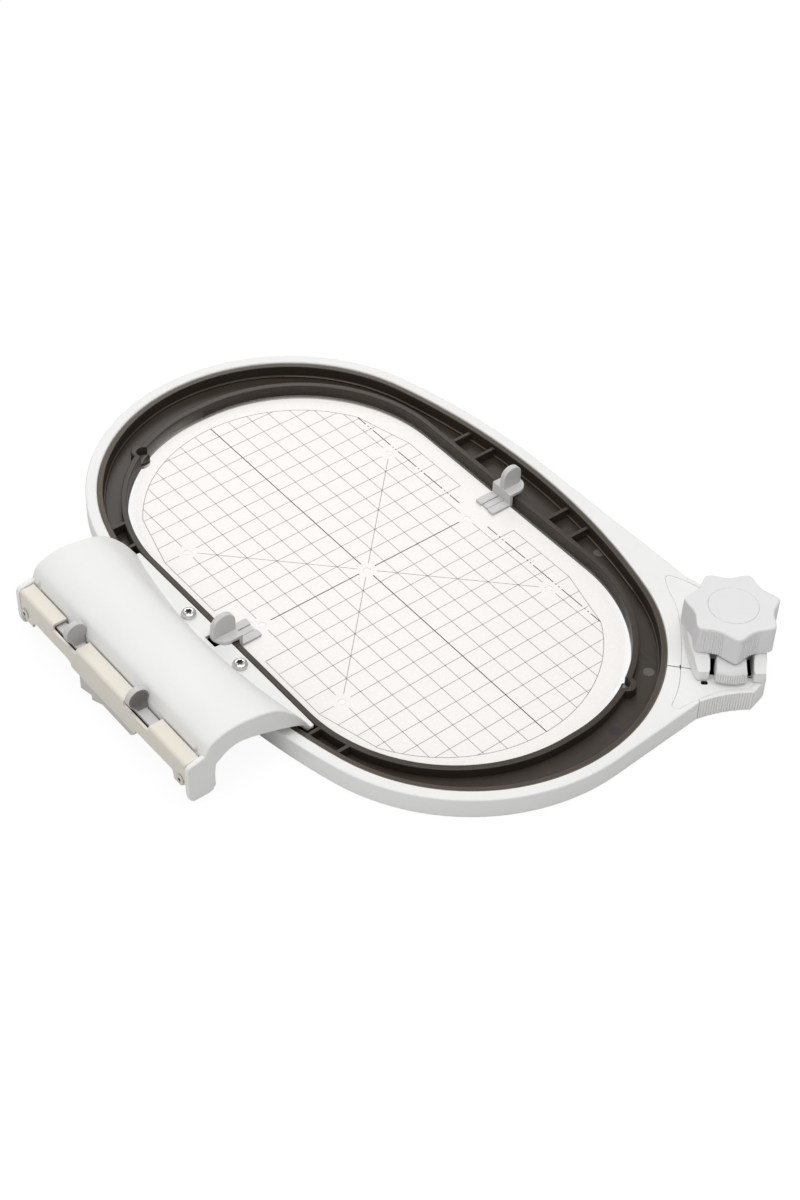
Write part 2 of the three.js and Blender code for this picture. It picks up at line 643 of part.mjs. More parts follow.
/** Cover on one side of the split, with holes for the screws that pass it. */
function clampCover(near) {
  const plate = prism(polygon(coverOutline()), COVER_TOP - COVER_DEPTH, COVER_TOP);
  const holes = (near ? [blockScrew()] : forkScrews()).map(([u, v]) =>
    bar(u, v, SCREW_RADIUS + FIT, RING_BASE, RING_TOP + OVERCUT));
  const vent = box([VENT.from, VENT.front, RING_BASE], [VENT.to, VENT.back, RING_TOP + OVERCUT]);
  return cut(plate.intersect(sideOfSplit(near)), vent, ...holes);
}

/** Ribbed grip pad. */
function pad(neck, side) {
  return prism(polygon(padOutline(neck, side, PAD_RIB_DEPTH)), RING_BASE, RING_TOP);
}

/** Fork whose two arms reach over the split. */
function clampFork() {
  const inside = FORK_HALF_WIDTH - FORK_ARM;
  const flared = FORK_HALF_WIDTH + FORK_FLARE;
  const arms = new THREE.Shape();
  arms.moveTo(-FORK_HALF_WIDTH, FORK_FRONT_V);
  arms.lineTo(-inside, FORK_FRONT_V);
  arms.lineTo(-inside, FORK_BACK_V - FORK_BACK_WALL);
  arms.lineTo(inside, FORK_BACK_V - FORK_BACK_WALL);
  arms.lineTo(inside, FORK_FRONT_V);
  arms.lineTo(FORK_HALF_WIDTH, FORK_FRONT_V);
  arms.lineTo(FORK_HALF_WIDTH, FORK_BACK_V);
  arms.lineTo(-flared, FORK_BACK_V);
  arms.quadraticCurveTo(-flared, FORK_FRONT_V / 2, -FORK_HALF_WIDTH, FORK_FRONT_V);
  const body = prism(arms, FORK_BASE, FORK_TOP);
  const web = box([-inside - OVERCUT, FORK_WEB_FRONT_V, FORK_BASE], [inside + OVERCUT, FORK_BACK_V, WEB_TOP]);
  const nose = FORK_BASE + FORK_NOSE_HEIGHT;
  const front = FORK_FRONT_V - OVERCUT;
  const rise = (FORK_TOP - nose) * (FORK_SLOPE_RUN + OVERCUT) / FORK_SLOPE_RUN;
  const slope = polygon([[front, FORK_TOP - rise], [FORK_FRONT_V + FORK_SLOPE_RUN, FORK_TOP],
    [FORK_FRONT_V + FORK_SLOPE_RUN, FORK_TOP + OVERCUT], [front, FORK_TOP + OVERCUT]]);
  const reach = flared + OVERCUT;
  const overhang = prism(splitStrip(FORK_FRONT_V * 2, SPLIT_GAP), FORK_BASE - OVERCUT, FORK_BASE + FIT);
  const axleHole = bar(0, 0, AXLE_RADIUS + FIT, FORK_BASE - OVERCUT, WEB_TOP + OVERCUT);
  const holes = forkScrews().map(([u, v]) =>
    bar(u, v, SCREW_RADIUS + FIT, FORK_BASE - OVERCUT, FORK_BASE + SCREW_LENGTH));
  return cut(join(body, web), prismX(slope, -reach, reach), overhang, axleHole, ...holes);
}

/** Outline of the pull block's head: a bulged front with or without ribs. */
function blockOutline(setback, ribs) {
  const steps = BLOCK_RIBS * 4;
  const half = BLOCK_HALF_WIDTH - setback / 2;
  const front = [];
  for (let i = 0; i <= steps; i += 1) {
    const t = i / steps;
    const crown = BLOCK_CROWN * (1 - (2 * t - 1) ** 2);
    const rib = ribs ? BLOCK_RIB_DEPTH * ribWave(t, BLOCK_RIBS) : 0;
    front.push([half * (2 * t - 1), BLOCK_FRONT_V + setback - crown - rib]);
  }
  return polygon([...front, [half, BLOCK_BACK_V], [-half, BLOCK_BACK_V]]);
}

/** Block on the near ring end, with a yoke that the knob's cam pulls. */
function pullBlock() {
  const base = FORK_BASE;
  const band = prism(blockOutline(0, true), base, base + BLOCK_BAND);
  const head = prism(blockOutline(BLOCK_BAND_STEP, false), base, YOKE_TOP);
  const tongue = box([-BLOCK_HALF_WIDTH + BLOCK_BAND_STEP, BLOCK_BACK_V - OVERCUT, YOKE_BASE],
    [BLOCK_HALF_WIDTH - BLOCK_BAND_STEP, 0, YOKE_TOP]);
  const eye = bar(0, 0, YOKE_HALF_WIDTH, YOKE_BASE, YOKE_TOP, 32);
  const window = bar(0, 0, CAM_REACH + FIT, YOKE_BASE - OVERCUT, YOKE_TOP + OVERCUT, 32);
  const [u, v] = blockScrew();
  const hole = bar(u, v, SCREW_RADIUS + FIT, base - OVERCUT, base + SCREW_LENGTH);
  return cut(join(band, head, tongue, eye), window, hole);
}

/** Knob outline: lobes, with fine ribs on the rise after each one. */
function knobOutline() {
  const stepsPerLobe = 28;
  const points = [];
  for (let i = 0; i < KNOB_LOBES * stepsPerLobe; i += 1) {
    const share = (i % stepsPerLobe) / stepsPerLobe;
    const across = Math.hypot(2 * Math.min(share, 1 - share), KNOB_TIP_ROUND) - KNOB_TIP_ROUND;
    const lobe = (1 - across / (Math.hypot(1, KNOB_TIP_ROUND) - KNOB_TIP_ROUND)) ** 2;
    const ribbed = share > KNOB_RIBS_FROM && share < KNOB_RIBS_TO;
    const groove = ribbed ? KNOB_RIB_DEPTH * (i % 2) : 0;
    const radius = KNOB_HOLLOW_RADIUS + (KNOB_LOBE_RADIUS - KNOB_HOLLOW_RADIUS) * lobe - groove;
    const angle = KNOB_PHASE * DEGREE + 2 * Math.PI * i / (KNOB_LOBES * stepsPerLobe);
    points.push([radius * Math.cos(angle), radius * Math.sin(angle)]);
  }
  return polygon(points);
}

/** Knob with its cam below and the axle's well above. */
function knobBody() {
  const grip = prism(knobOutline(), KNOB_BASE, KNOB_TOP, KNOB_BEVEL);
  const cam = bar(0, CAM_THROW, CAM_RADIUS, YOKE_BASE, KNOB_BASE + OVERCUT, 32);
  const bore = bar(0, 0, CAM_BORE, YOKE_BASE - OVERCUT, KNOB_TOP, 24);
  const well = bar(0, 0, WASHER_RADIUS + FIT, WASHER_BASE - FIT, KNOB_TOP, 24);
  const capSeat = bar(0, 0, CAP_RADIUS + FIT, CAP_BASE - FIT, KNOB_TOP + OVERCUT, 40);
  return cut(join(grip, cam), bore, well, capSeat);
}

/** Axle screw: shank in the fork's web, head in the knob's well. */
function axleScrew() {
  return turned([[0, FORK_BASE], [AXLE_RADIUS, FORK_BASE], [AXLE_RADIUS, AXLE_HEAD_BASE],
    [AXLE_HEAD_RADIUS, AXLE_HEAD_BASE], [AXLE_HEAD_RADIUS, AXLE_HEAD_BASE + AXLE_HEAD_HEIGHT],
    [0, AXLE_HEAD_BASE + AXLE_HEAD_HEIGHT]]);
}

/** Washer between the knob's well and the axle screw's head. */
function axleWasher() {
  const disc = bar(0, 0, WASHER_RADIUS, WASHER_BASE, WASHER_BASE + WASHER_THICKNESS);
  return cut(disc, bar(0, 0, AXLE_RADIUS + FIT, WASHER_BASE - OVERCUT, AXLE_HEAD_BASE));
}

/** Cap over the knob's well. */
function knobCap() {
  return bar(0, 0, CAP_RADIUS, CAP_BASE, KNOB_TOP, 40);
}

/** Pan-head screw along +Z, head at the bottom of its own frame, with a cross recess. */
function screw(radius, headRadius, headHeight, length) {
  const rim = headHeight * 0.45;
  const body = turned([[0, -headHeight], [headRadius * 0.6, -headHeight], [headRadius, -rim],
    [headRadius, 0], [radius, 0], [radius, length], [0, length]]);
  const depth = headHeight * 0.7;
  const arm = headRadius * 0.6;
  const slot = SCREW_SLOT / 2;
  const across = box([-arm, -slot, -headHeight - OVERCUT], [arm, slot, -headHeight + depth]);
  const along = box([-slot, -arm, -headHeight - OVERCUT], [slot, arm, -headHeight + depth]);
  return cut(body, across, along);
}

/** Inner ring: a channel between an inner rim and an outer rim, with ribs, bosses and two lugs. */
function innerRing() {
  const shape = oval(-FABRIC_GAP);
  shape.holes.push(sewingWindow(0));
  const body = prism(shape, INNER_BASE, INNER_TOP, 0, 10);
  const channelShape = oval(-FABRIC_GAP - OUTER_RIM);
  channelShape.holes.push(sewingWindow(INNER_RIM));
  const channel = prism(channelShape, INNER_FLOOR_TOP, INNER_TOP + OVERCUT, 0, 10);
  const outside = OPENING_HALF_WIDTH + RING_WALL;
  const inside = WINDOW_HALF_WIDTH - INNER_RIM;
  const low = INNER_FLOOR_TOP - OVERCUT;
  const standing = [];
  for (const side of [-1, 1]) {
    const strip = (x, y0, y1, top) => box([side * x - RIB / 2, y0, low], [side * x + RIB / 2, y1, top]);
    for (const x of FAR_RIBS) standing.push(strip(x, inside, outside, INNER_RIM_TOP));
    for (const x of NEAR_RIBS) standing.push(strip(x, -outside, -inside / 2, INNER_RIM_TOP));
    for (const x of SEAT_RIBS) standing.push(strip(x, -outside, -inside, FLANGE_SEAT - FIT));
    standing.push(bar(side * SCREW_SPACING / 2, SCREW_Y, BOSS_RADIUS, low, FLANGE_SEAT - FIT));
  }
  const rimCut = prism(sewingWindow(INNER_RIM), INNER_RIM_TOP, INNER_TOP + OVERCUT, 0, 10);
  const holes = [-1, 1].map((side) =>
    bar(side * SCREW_SPACING / 2, SCREW_Y, SCREW_RADIUS + FIT, INNER_BASE + RIB, FLANGE_SEAT + OVERCUT));
  const ring = cut(body, cut(channel, ...standing), rimCut, ...holes);
  const lugs = lugPlaces().map(([x, y]) => bar(x, y, LUG_RADIUS, INNER_BASE, INNER_RIM_TOP, 20));
  const lugHoles = lugPlaces().map(([x, y]) =>
    bar(x, y, LUG_HOLE, INNER_FLOOR_TOP, INNER_RIM_TOP + OVERCUT, 16));
  const aboveLedge = prism(sewingWindow(0), LUG_LEDGE_TOP, INNER_RIM_TOP + OVERCUT, 0, 10);
  return cut(join(ring, ...lugs), ...lugHoles, aboveLedge);
}

/** Centres of the two locating lugs on the window's edge. */
function lugPlaces() {
  const reach = WINDOW_CORNER + LUG_OUTSET;
  const x = WINDOW_HALF_LENGTH - WINDOW_CORNER + reach * Math.cos(LUG_ANGLE * DEGREE);
  const y = WINDOW_HALF_WIDTH - WINDOW_CORNER + reach * Math.sin(LUG_ANGLE * DEGREE);
  return [[x, y], [-x, -y]];
}

/** Clear template with marking holes and notches for the lugs. */
function template() {
  const shape = stadium(TEMPLATE_HALF_LENGTH, TEMPLATE_HALF_WIDTH, TEMPLATE_CORNER, 0);
  const marks = [[0, 0], [0, 1], [0, -1], [1, 1], [1, -1], [-1, 1], [-1, -1]];
  for (const [i, j] of marks) {
    const hole = new THREE.Path();
    hole.absarc(i * MARK_PITCH, FIELD_OFFSET + j * MARK_PITCH, MARK_RADIUS, 0, 2 * Math.PI, true);
    shape.holes.push(hole);
  }
  const plate = prism(shape, 0, TEMPLATE_THICKNESS, 0, 10);
  const notches = lugPlaces().map(([x, y]) =>
    bar(x, y, LUG_RADIUS + TEMPLATE_GAP, -OVERCUT, TEMPLATE_THICKNESS + OVERCUT, 20));
  return cut(plate, ...notches);
}

/** Grip on the template's far edge: tines, a wall, a tongue over the rim and a round fin. */
function templateGrip() {
  const base = TEMPLATE_THICKNESS + FIT;
  const top = FLANGE_TOP + FIT + GRIP_PLATE;
  const wallOut = TEMPLATE_HALF_WIDTH - GRIP_EDGE_MARGIN;
  const wallIn = wallOut - GRIP_WALL;
  const half = GRIP_WIDTH / 2;
  const wall = box([-half, wallIn, base], [half, wallOut, top]);
  const tines = [-1, 1].map((side) => box(
    [side * half, wallIn - GRIP_TINE_LENGTH, base],
    [side * (half - GRIP_TINE), wallIn + GRIP_WALL / 2, base + GRIP_TINE_THICKNESS]));
  const clipHalf = half - GRIP_TINE - SLIDE;
  const clip = box([-clipHalf, wallIn - GRIP_CLIP_LENGTH, base],
    [clipHalf, wallIn + GRIP_WALL / 2, base + GRIP_CLIP_THICKNESS]);
  const tip = wallOut + GRIP_REACH;
  const tongueShape = new THREE.Shape();
  tongueShape.moveTo(half, wallIn);
  tongueShape.absarc(0, tip - half, half, 0, Math.PI);
  tongueShape.lineTo(-half, wallIn);
  const tongue = prism(tongueShape, top - GRIP_PLATE, top);
  const finRadius = (tip - wallIn) / 2;
  const finShape = new THREE.Shape();
  finShape.moveTo(wallIn, top - GRIP_PLATE / 2);
  finShape.lineTo(tip, top - GRIP_PLATE / 2);
  finShape.absarc(wallIn + finRadius, top + GRIP_FIN_HEIGHT - finRadius, finRadius, 0, Math.PI);
  const fin = prismX(finShape, -GRIP_FIN / 2, GRIP_FIN / 2, GRIP_FIN_BEVEL);
  return join(wall, ...tines, clip, tongue, fin);
}

/** How far the arch's foot lies behind the flange's edge, widest in the middle of the arm. */
function crease(x) {
  return CREASE_LEAST + CREASE_DEPTH * (1 - (x / ARM_HALF_LENGTH) ** 2);
}

/** Points of a smooth curve through a few YZ places. */
function smooth(places, steps) {
  const curve = new THREE.SplineCurve(places.map(([y, z]) => new THREE.Vector2(y, z)));
  return curve.getPoints(steps).map(({ x, y }) => [x, y]);
}

/** The arch's outside from the front wall to the crease, drawn in by a skin. */
function archOutside(x, skin) {
  const back = crease(x);
  const foot = FLANGE_EDGE - back;
  const span = ARM_PEAK_Y - ARM_WALL_FRONT;
  const rise = ARM_PEAK_Z - ARM_WALL_TOP;
  const fall = ARM_PEAK_Z - FLANGE_TOP;
  const run = FLANGE_EDGE - ARM_PEAK_Y;
  return smooth([
    [ARM_WALL_FRONT + skin, ARM_WALL_TOP],
    [ARM_WALL_FRONT + 0.14 * span + 0.9 * skin, ARM_WALL_TOP + 0.6 * rise - 0.5 * skin],
    [ARM_WALL_FRONT + 0.5 * span + 0.3 * skin, ARM_WALL_TOP + 0.93 * rise - skin],
    [ARM_PEAK_Y, ARM_PEAK_Z - skin],
    [ARM_PEAK_Y + 0.46 * run - 0.35 * back - 0.5 * skin, FLANGE_TOP + 0.86 * fall - 0.9 * skin],
    [ARM_PEAK_Y + 0.78 * run - 0.85 * back - 0.8 * skin, FLANGE_TOP + 0.48 * fall - 0.7 * skin],
    [foot - 1.2 * skin, FLANGE_TOP],
  ], 16);
}

/** Full section of the arm at one station: wall, deep arch and flange. */
function armSection(x) {
  const back = crease(x);
  const underside = smooth([
    [FLANGE_EDGE - back - 4, FLANGE_SEAT + 4.4],
    [FLANGE_EDGE - 0.7 * back - 11, FLANGE_SEAT + 8],
    [ARM_PEAK_Y + 4, ARM_PEAK_Z - ARM_DEPTH - 0.4],
    [ARM_PEAK_Y - 6, ARM_PEAK_Z - ARM_DEPTH],
    [ARM_WALL_BACK, ARM_WALL_TOP - ARM_HAUNCH],
  ], 10);
  return [
    [ARM_WALL_BACK, ARM_WALL_BASE], ...underside.reverse(),
    [FLANGE_EDGE - back - 2, FLANGE_SEAT], [FLANGE_EDGE, FLANGE_SEAT], [FLANGE_EDGE, FLANGE_TOP],
    ...archOutside(x, 0).reverse(), [ARM_WALL_FRONT, ARM_WALL_BASE],
  ];
}

/** Hollow under the arch at one station, open below. */
function coreSection(x) {
  const outside = archOutside(x, ARM_SKIN).filter(([y, z]) => y > ARM_WALL_BACK && z > FLANGE_SEAT + 9);
  return [[ARM_WALL_BACK, ARM_WALL_BASE], [outside.at(-1)[0], ARM_WALL_BASE],
    ...outside.reverse(), [ARM_WALL_BACK, outside.at(-1)[1]]];
}

/** Moulded coupling arm: ribbed arch, front wall, end plates, screw bosses and the flange. */
function couplingArm() {
  const body = loft(spread(-ARM_HALF_LENGTH, ARM_HALF_LENGTH, 15).map((x) => ({ x, points: armSection(x) })));
  const inner = ARM_HALF_LENGTH - ARM_END_WALL;
  const bay = 2 * inner / ARM_BAYS;
  const cores = [];
  for (let i = 0; i < ARM_BAYS; i += 1) {
    const from = -inner + i * bay + (i > 0 ? ARM_RIB / 2 : 0);
    const to = -inner + (i + 1) * bay - (i + 1 < ARM_BAYS ? ARM_RIB / 2 : 0);
    cores.push(loft(spread(from, to, 4).map((x) => ({ x, points: coreSection(x) }))));
  }
  const end = new THREE.Shape();
  const legTop = RAIL_TOP + LEG_COVER;
  const legBack = ARM_WALL_BACK - LEG_SETBACK;
  end.moveTo(ARM_WALL_BACK, ARM_WALL_TOP - ARM_HAUNCH);
  end.lineTo(ARM_WALL_FRONT, ARM_WALL_TOP + 2 * LEG_COVER);
  end.lineTo(LEG_FRONT + LEG_ROUND, legTop);
  end.quadraticCurveTo(LEG_FRONT, legTop, LEG_FRONT, legTop - LEG_ROUND);
  end.lineTo(LEG_FRONT, LEG_BASE + 2 * LEG_ROUND);
  end.quadraticCurveTo(LEG_FRONT, LEG_BASE, LEG_FRONT + LEG_ROUND, LEG_BASE);
  end.lineTo(legBack - LEG_ROUND, LEG_BASE);
  end.quadraticCurveTo(legBack, LEG_BASE, legBack, LEG_BASE + LEG_ROUND);
  const additions = [];
  const cutters = [];
  for (const side of [-1, 1]) {
    additions.push(prismX(end, ...mirrored(side, inner, ARM_HALF_LENGTH), LEG_BEVEL, 4));
    const bossX = mirrored(side, RAIL_SCREW_X - RAIL_BOSS, inner + OVERCUT);
    additions.push(box([bossX[0], RAIL_INNER_FRONT + FIT, RAIL_SCREW_Z - RAIL_BOSS],
      [bossX[1], ARM_WALL_FRONT + OVERCUT, RAIL_SCREW_Z + RAIL_BOSS]));
    const screwHole = new THREE.Shape().absarc(side * RAIL_SCREW_X, RAIL_SCREW_Z,
      RAIL_SCREW_RADIUS + FIT, 0, 2 * Math.PI);
    cutters.push(prismY(screwHole, RAIL_FRONT, RAIL_FRONT + RAIL_SHEET + RAIL_SCREW_LENGTH + FIT));
    const pocket = mirrored(side, RAIL_WINDOW_INNER, FIN_OUTER + POCKET_GAP);
    cutters.push(box([pocket[0], ARM_WALL_FRONT - OVERCUT, LEVER_PLATE_TOP - SLIDE],
      [pocket[1], RAIL_BACK + LEVER_FIN_REACH + POCKET_GAP, LEVER_PLATE_TOP + LEVER_FIN_HEIGHT]));
    cutters.push(bar(side * SCREW_SPACING / 2, SCREW_Y, SCREW_RADIUS + FIT,
      FLANGE_SEAT - OVERCUT, FLANGE_TOP + OVERCUT));
  }
  cutters.push(box([-NOTCH_HALF_WIDTH, FLANGE_EDGE - NOTCH_DEPTH, FLANGE_SEAT - OVERCUT],
    [NOTCH_HALF_WIDTH, FLANGE_EDGE + OVERCUT, FLANGE_TOP + OVERCUT]));
  return cut(join(cut(body, ...cores), ...additions), ...cutters);
}

/** Bent rail with two lever windows, end tabs and a deep middle apron. */
function couplingRail() {
  const section = new THREE.Shape();
  const back = ARM_WALL_FRONT - RAIL_TOP_GAP;
  section.moveTo(back, RAIL_TOP);
  section.absarc(RAIL_FRONT + RAIL_BEND, RAIL_TOP - RAIL_BEND, RAIL_BEND, Math.PI / 2, Math.PI);
  section.lineTo(RAIL_FRONT, RAIL_TAB_BASE);
  section.lineTo(RAIL_INNER_FRONT, RAIL_TAB_BASE);
  section.absarc(RAIL_FRONT + RAIL_BEND, RAIL_TOP - RAIL_BEND, RAIL_BEND - RAIL_SHEET,
    Math.PI, Math.PI / 2, true);
  section.lineTo(back, RAIL_TOP - RAIL_SHEET);
  const bent = prismX(section, -RAIL_HALF_LENGTH, RAIL_HALF_LENGTH, 0, 3);
  const tab = RAIL_HALF_LENGTH - RAIL_TAB_WIDTH;
  const low = RAIL_TAB_BASE - OVERCUT;
  const nearWaste = new THREE.Shape();
  nearWaste.moveTo(RAIL_APRON_NEAR, low);
  nearWaste.lineTo(RAIL_APRON_NEAR, RAIL_APRON_BASE);
  nearWaste.lineTo(RAIL_APRON_NEAR + RAIL_NEAR_STEP, RAIL_WEB_BASE);
  nearWaste.lineTo(tab - RAIL_NEAR_STEP, RAIL_WEB_BASE + RAIL_WEB_RISE);
  nearWaste.quadraticCurveTo(tab, RAIL_WEB_BASE + RAIL_WEB_RISE, tab, low);
  const farWaste = new THREE.Shape();
  farWaste.moveTo(-tab, low);
  farWaste.lineTo(RAIL_APRON_FAR, low);
  farWaste.lineTo(RAIL_APRON_FAR, RAIL_APRON_BASE);
  farWaste.quadraticCurveTo(RAIL_APRON_FAR, RAIL_WEB_BASE, RAIL_APRON_FAR - RAIL_FAR_STEP, RAIL_WEB_BASE);
  farWaste.lineTo(-tab + RAIL_FAR_STEP, RAIL_WEB_BASE);
  farWaste.quadraticCurveTo(-tab, RAIL_WEB_BASE, -tab, low);
  const bottom = box([RAIL_APRON_FAR - OVERCUT, RAIL_FRONT - OVERCUT, low - OVERCUT],
    [RAIL_APRON_NEAR + OVERCUT, RAIL_INNER_FRONT + OVERCUT, RAIL_APRON_BASE]);
  const frontLow = RAIL_FRONT - OVERCUT;
  const frontHigh = RAIL_INNER_FRONT + OVERCUT;
  const cutters = [bottom, prismY(nearWaste, frontLow, frontHigh, 0, 4),
    prismY(farWaste, frontLow, frontHigh, 0, 5)];
  for (const side of [-1, 1]) {
    const window = mirrored(side, RAIL_WINDOW_INNER, RAIL_WINDOW_OUTER);
    cutters.push(box([window[0], frontLow, LEVER_PLATE_TOP - SLIDE],
      [window[1], RAIL_BACK + OVERCUT, RAIL_TOP + OVERCUT]));
    const hole = new THREE.Shape();
    hole.absarc(side * RAIL_SCREW_X, RAIL_SCREW_Z, RAIL_SCREW_RADIUS + FIT, 0, 2 * Math.PI);
    cutters.push(prismY(hole, frontLow, frontHigh));
    const corner = new THREE.Shape();
    const edge = side * (RAIL_HALF_LENGTH + OVERCUT);
    corner.moveTo(edge, low);
    corner.lineTo(side * (RAIL_HALF_LENGTH - RAIL_CORNER), low);
    corner.lineTo(side * (RAIL_HALF_LENGTH - RAIL_CORNER), RAIL_TAB_BASE);
    corner.lineTo(side * RAIL_HALF_LENGTH, RAIL_TAB_BASE + RAIL_CORNER);
    corner.lineTo(edge, RAIL_TAB_BASE + RAIL_CORNER);
    cutters.push(prismY(corner, frontLow, frontHigh));
  }
  return cut(bent, ...cutters);
}

/** Housing behind the rail: spring channels for both levers and a stepped keel below. */
function slideHousing() {
  const body = box([-HOUSING_HALF_LENGTH, HOUSING_FRONT, HOUSING_BASE],
    [HOUSING_HALF_LENGTH, HOUSING_BACK, HOUSING_TOP]);
  const keelTop = RAIL_APRON_BASE - FIT;
  const notch = KEEL_TOOTH_BASE + KEEL_TOOTH_RISE;
  const keelShape = polygon([[KEEL_FROM, keelTop], [KEEL_FROM, KEEL_TOOTH_BASE],
    [KEEL_FROM + KEEL_TOOTH, notch], [KEEL_FROM + KEEL_TOOTH, KEEL_TOOTH_BASE],
    [KEEL_FROM + 2 * KEEL_TOOTH, KEEL_RUN_BASE], [KEEL_TO - KEEL_CHAMFER, KEEL_RUN_BASE],
    [KEEL_TO, KEEL_RUN_BASE + KEEL_CHAMFER], [KEEL_TO, keelTop]]);
  const keel = prismY(keelShape, KEEL_FRONT, HOUSING_BACK);
  const neck = box([KEEL_FROM, HOUSING_FRONT, keelTop - OVERCUT],
    [KEEL_TO, HOUSING_BACK, HOUSING_BASE + OVERCUT]);
  const cutters = [];
  for (const side of [-1, 1]) {
    const run = mirrored(side, HOUSING_MIDDLE / 2, FIN_OUTER + LEVER_TRAVEL);
    cutters.push(box([run[0], HOUSING_MID_Y - CHANNEL_WIDTH / 2, HOUSING_BASE + HOUSING_FLOOR],
      [run[1], HOUSING_MID_Y + CHANNEL_WIDTH / 2, HOUSING_TOP + OVERCUT]));
    const slot = mirrored(side, FIN_INNER - LEVER_TRAVEL - SLIDE, FIN_OUTER + SLIDE);
    cutters.push(box([slot[0], HOUSING_MID_Y - CHANNEL_WIDTH / 2, KEEL_RUN_BASE - OVERCUT],
      [slot[1], HOUSING_MID_Y + CHANNEL_WIDTH / 2, HOUSING_TOP]));
  }
  return cut(join(body, keel, neck), ...cutters);
}

/** Release lever: sliding plate, ribbed fin above and a latch foot below. */
function releaseLever(side) {
  const [plateLow, plateHigh] = mirrored(side, LEVER_PLATE_INNER, LEVER_PLATE_OUTER);
  const plate = box([plateLow, HOUSING_FRONT, LEVER_PLATE_BASE], [plateHigh, HOUSING_BACK, LEVER_PLATE_TOP]);
  const [finLow, finHigh] = mirrored(side, FIN_INNER, FIN_OUTER);
  const back = RAIL_BACK + LEVER_FIN_REACH;
  const rootFront = HOUSING_BACK - LEVER_FIN_ROOT;
  const centre = LEVER_PLATE_TOP + LEVER_FIN_HEIGHT - LEVER_FIN_RADIUS;
  const outline = new THREE.Shape();
  outline.moveTo(rootFront, LEVER_PLATE_TOP);
  outline.lineTo(back, LEVER_PLATE_TOP);
  outline.absarc(back - LEVER_FIN_RADIUS, centre, LEVER_FIN_RADIUS, 0, LEVER_FIN_SWEEP * DEGREE);
  const fin = prismX(outline, finLow, finHigh, LEVER_FIN_BEVEL, 8);
  const root = box([finLow, rootFront, LEVER_PLATE_BASE],
    [finHigh, HOUSING_BACK, LEVER_PLATE_TOP + OVERCUT]);
  const footHalf = CHANNEL_WIDTH / 2 - SLIDE;
  const foot = box([finLow, HOUSING_MID_Y - footHalf, LEVER_PLATE_BASE - LEVER_FOOT_DROP],
    [finHigh, HOUSING_MID_Y + footHalf, LEVER_PLATE_BASE + LEVER_PLATE / 2]);
  return join(plate, fin, root, foot);
}

/** Helix along X, used as a spring's centre line. */
class Helix extends THREE.Curve {
  constructor(from, to, turns, radius) {
    super();
    Object.assign(this, { from, to, turns, radius });
  }

  getPoint(t) {
    const angle = 2 * Math.PI * this.turns * t;
    return new THREE.Vector3(this.from + (this.to - this.from) * t,
      this.radius * Math.cos(angle), this.radius * Math.sin(angle));
  }
}

const SPRING_INNER = HOUSING_MIDDLE / 2 + FIT;
const SPRING_OUTER = FIN_INNER - FIT;

/** Least gap between neighbouring turns of a helix, measured on points one turn apart. */
function springGap(helix) {
  let least = Infinity;
  for (let i = 0; i <= 40; i += 1) {
    const t = (i / 40) * (1 - 1 / helix.turns);
    const gap = helix.getPoint(t).distanceTo(helix.getPoint(t + 1 / helix.turns));
    least = Math.min(least, gap - 2 * SPRING_WIRE_RADIUS);
  }
  return least;
}

/** Compression spring between the housing's middle and a lever's foot. */
function leverSpring(side) {
  const inset = SPRING_WIRE_RADIUS;
  const helix = new Helix(side * (SPRING_INNER + inset), side * (SPRING_OUTER - inset), SPRING_TURNS,
    SPRING_MEAN_RADIUS);
  console.log('least gap between spring turns, mm:', springGap(helix).toFixed(2));
  const wire = new THREE.Shape();
  for (let i = 0; i < SPRING_SIDES; i += 1) {
    const angle = 2 * Math.PI * i / SPRING_SIDES;
    const point = [SPRING_WIRE_RADIUS * Math.cos(angle), SPRING_WIRE_RADIUS * Math.sin(angle)];
    if (i === 0) wire.moveTo(...point);
    else wire.lineTo(...point);
  }
  const coil = new THREE.ExtrudeGeometry(wire, {
    steps: SPRING_TURNS * SPRING_STEPS, bevelEnabled: false, extrudePath: helix,
  });
  return solid(coil.translate(0, HOUSING_MID_Y, SPRING_AXIS_Z));
}

const hoop = new THREE.Group();

// Clamped outer ring
hoop.add(piece('outer_ring', outerRing(), WHITE));
clamp.add(piece('clamp_cover_near', clampCover(true), WHITE));
clamp.add(piece('clamp_cover_far', clampCover(false), WHITE));
clamp.add(piece('grip_pad_near', pad(NECK_NEAR, -1), WHITE));
clamp.add(piece('grip_pad_far', pad(NECK_FAR, 1), WHITE));
clamp.add(piece('clamp_fork', clampFork(), WHITE));
clamp.add(piece('pull_block', pullBlock(), GREY_WHITE));
clamp.add(piece('knob', knobBody(), GREY_WHITE));
clamp.add(piece('knob_cap', knobCap(), GREY_WHITE));
clamp.add(piece('axle_screw', axleScrew(), STEEL));
clamp.add(piece('axle_washer', axleWasher(), STEEL));
const clampScrewLength = FORK_BASE + SCREW_LENGTH - FIT - RING_BASE - SCREW_HEAD_HEIGHT - FIT;
const clampScrews = [...forkScrews().map((place, i) => [`fork_screw_${i + 1}`, place]),
  ['block_screw', blockScrew()]];
for (const [name, [u, v]] of clampScrews) {
  const body = screw(SCREW_RADIUS, SCREW_HEAD_RADIUS, SCREW_HEAD_HEIGHT, clampScrewLength);
  const mesh = piece(name, body, STEEL);
  mesh.position.set(u, v, RING_BASE + SCREW_HEAD_HEIGHT);
  clamp.add(mesh);
}
hoop.add(clamp);

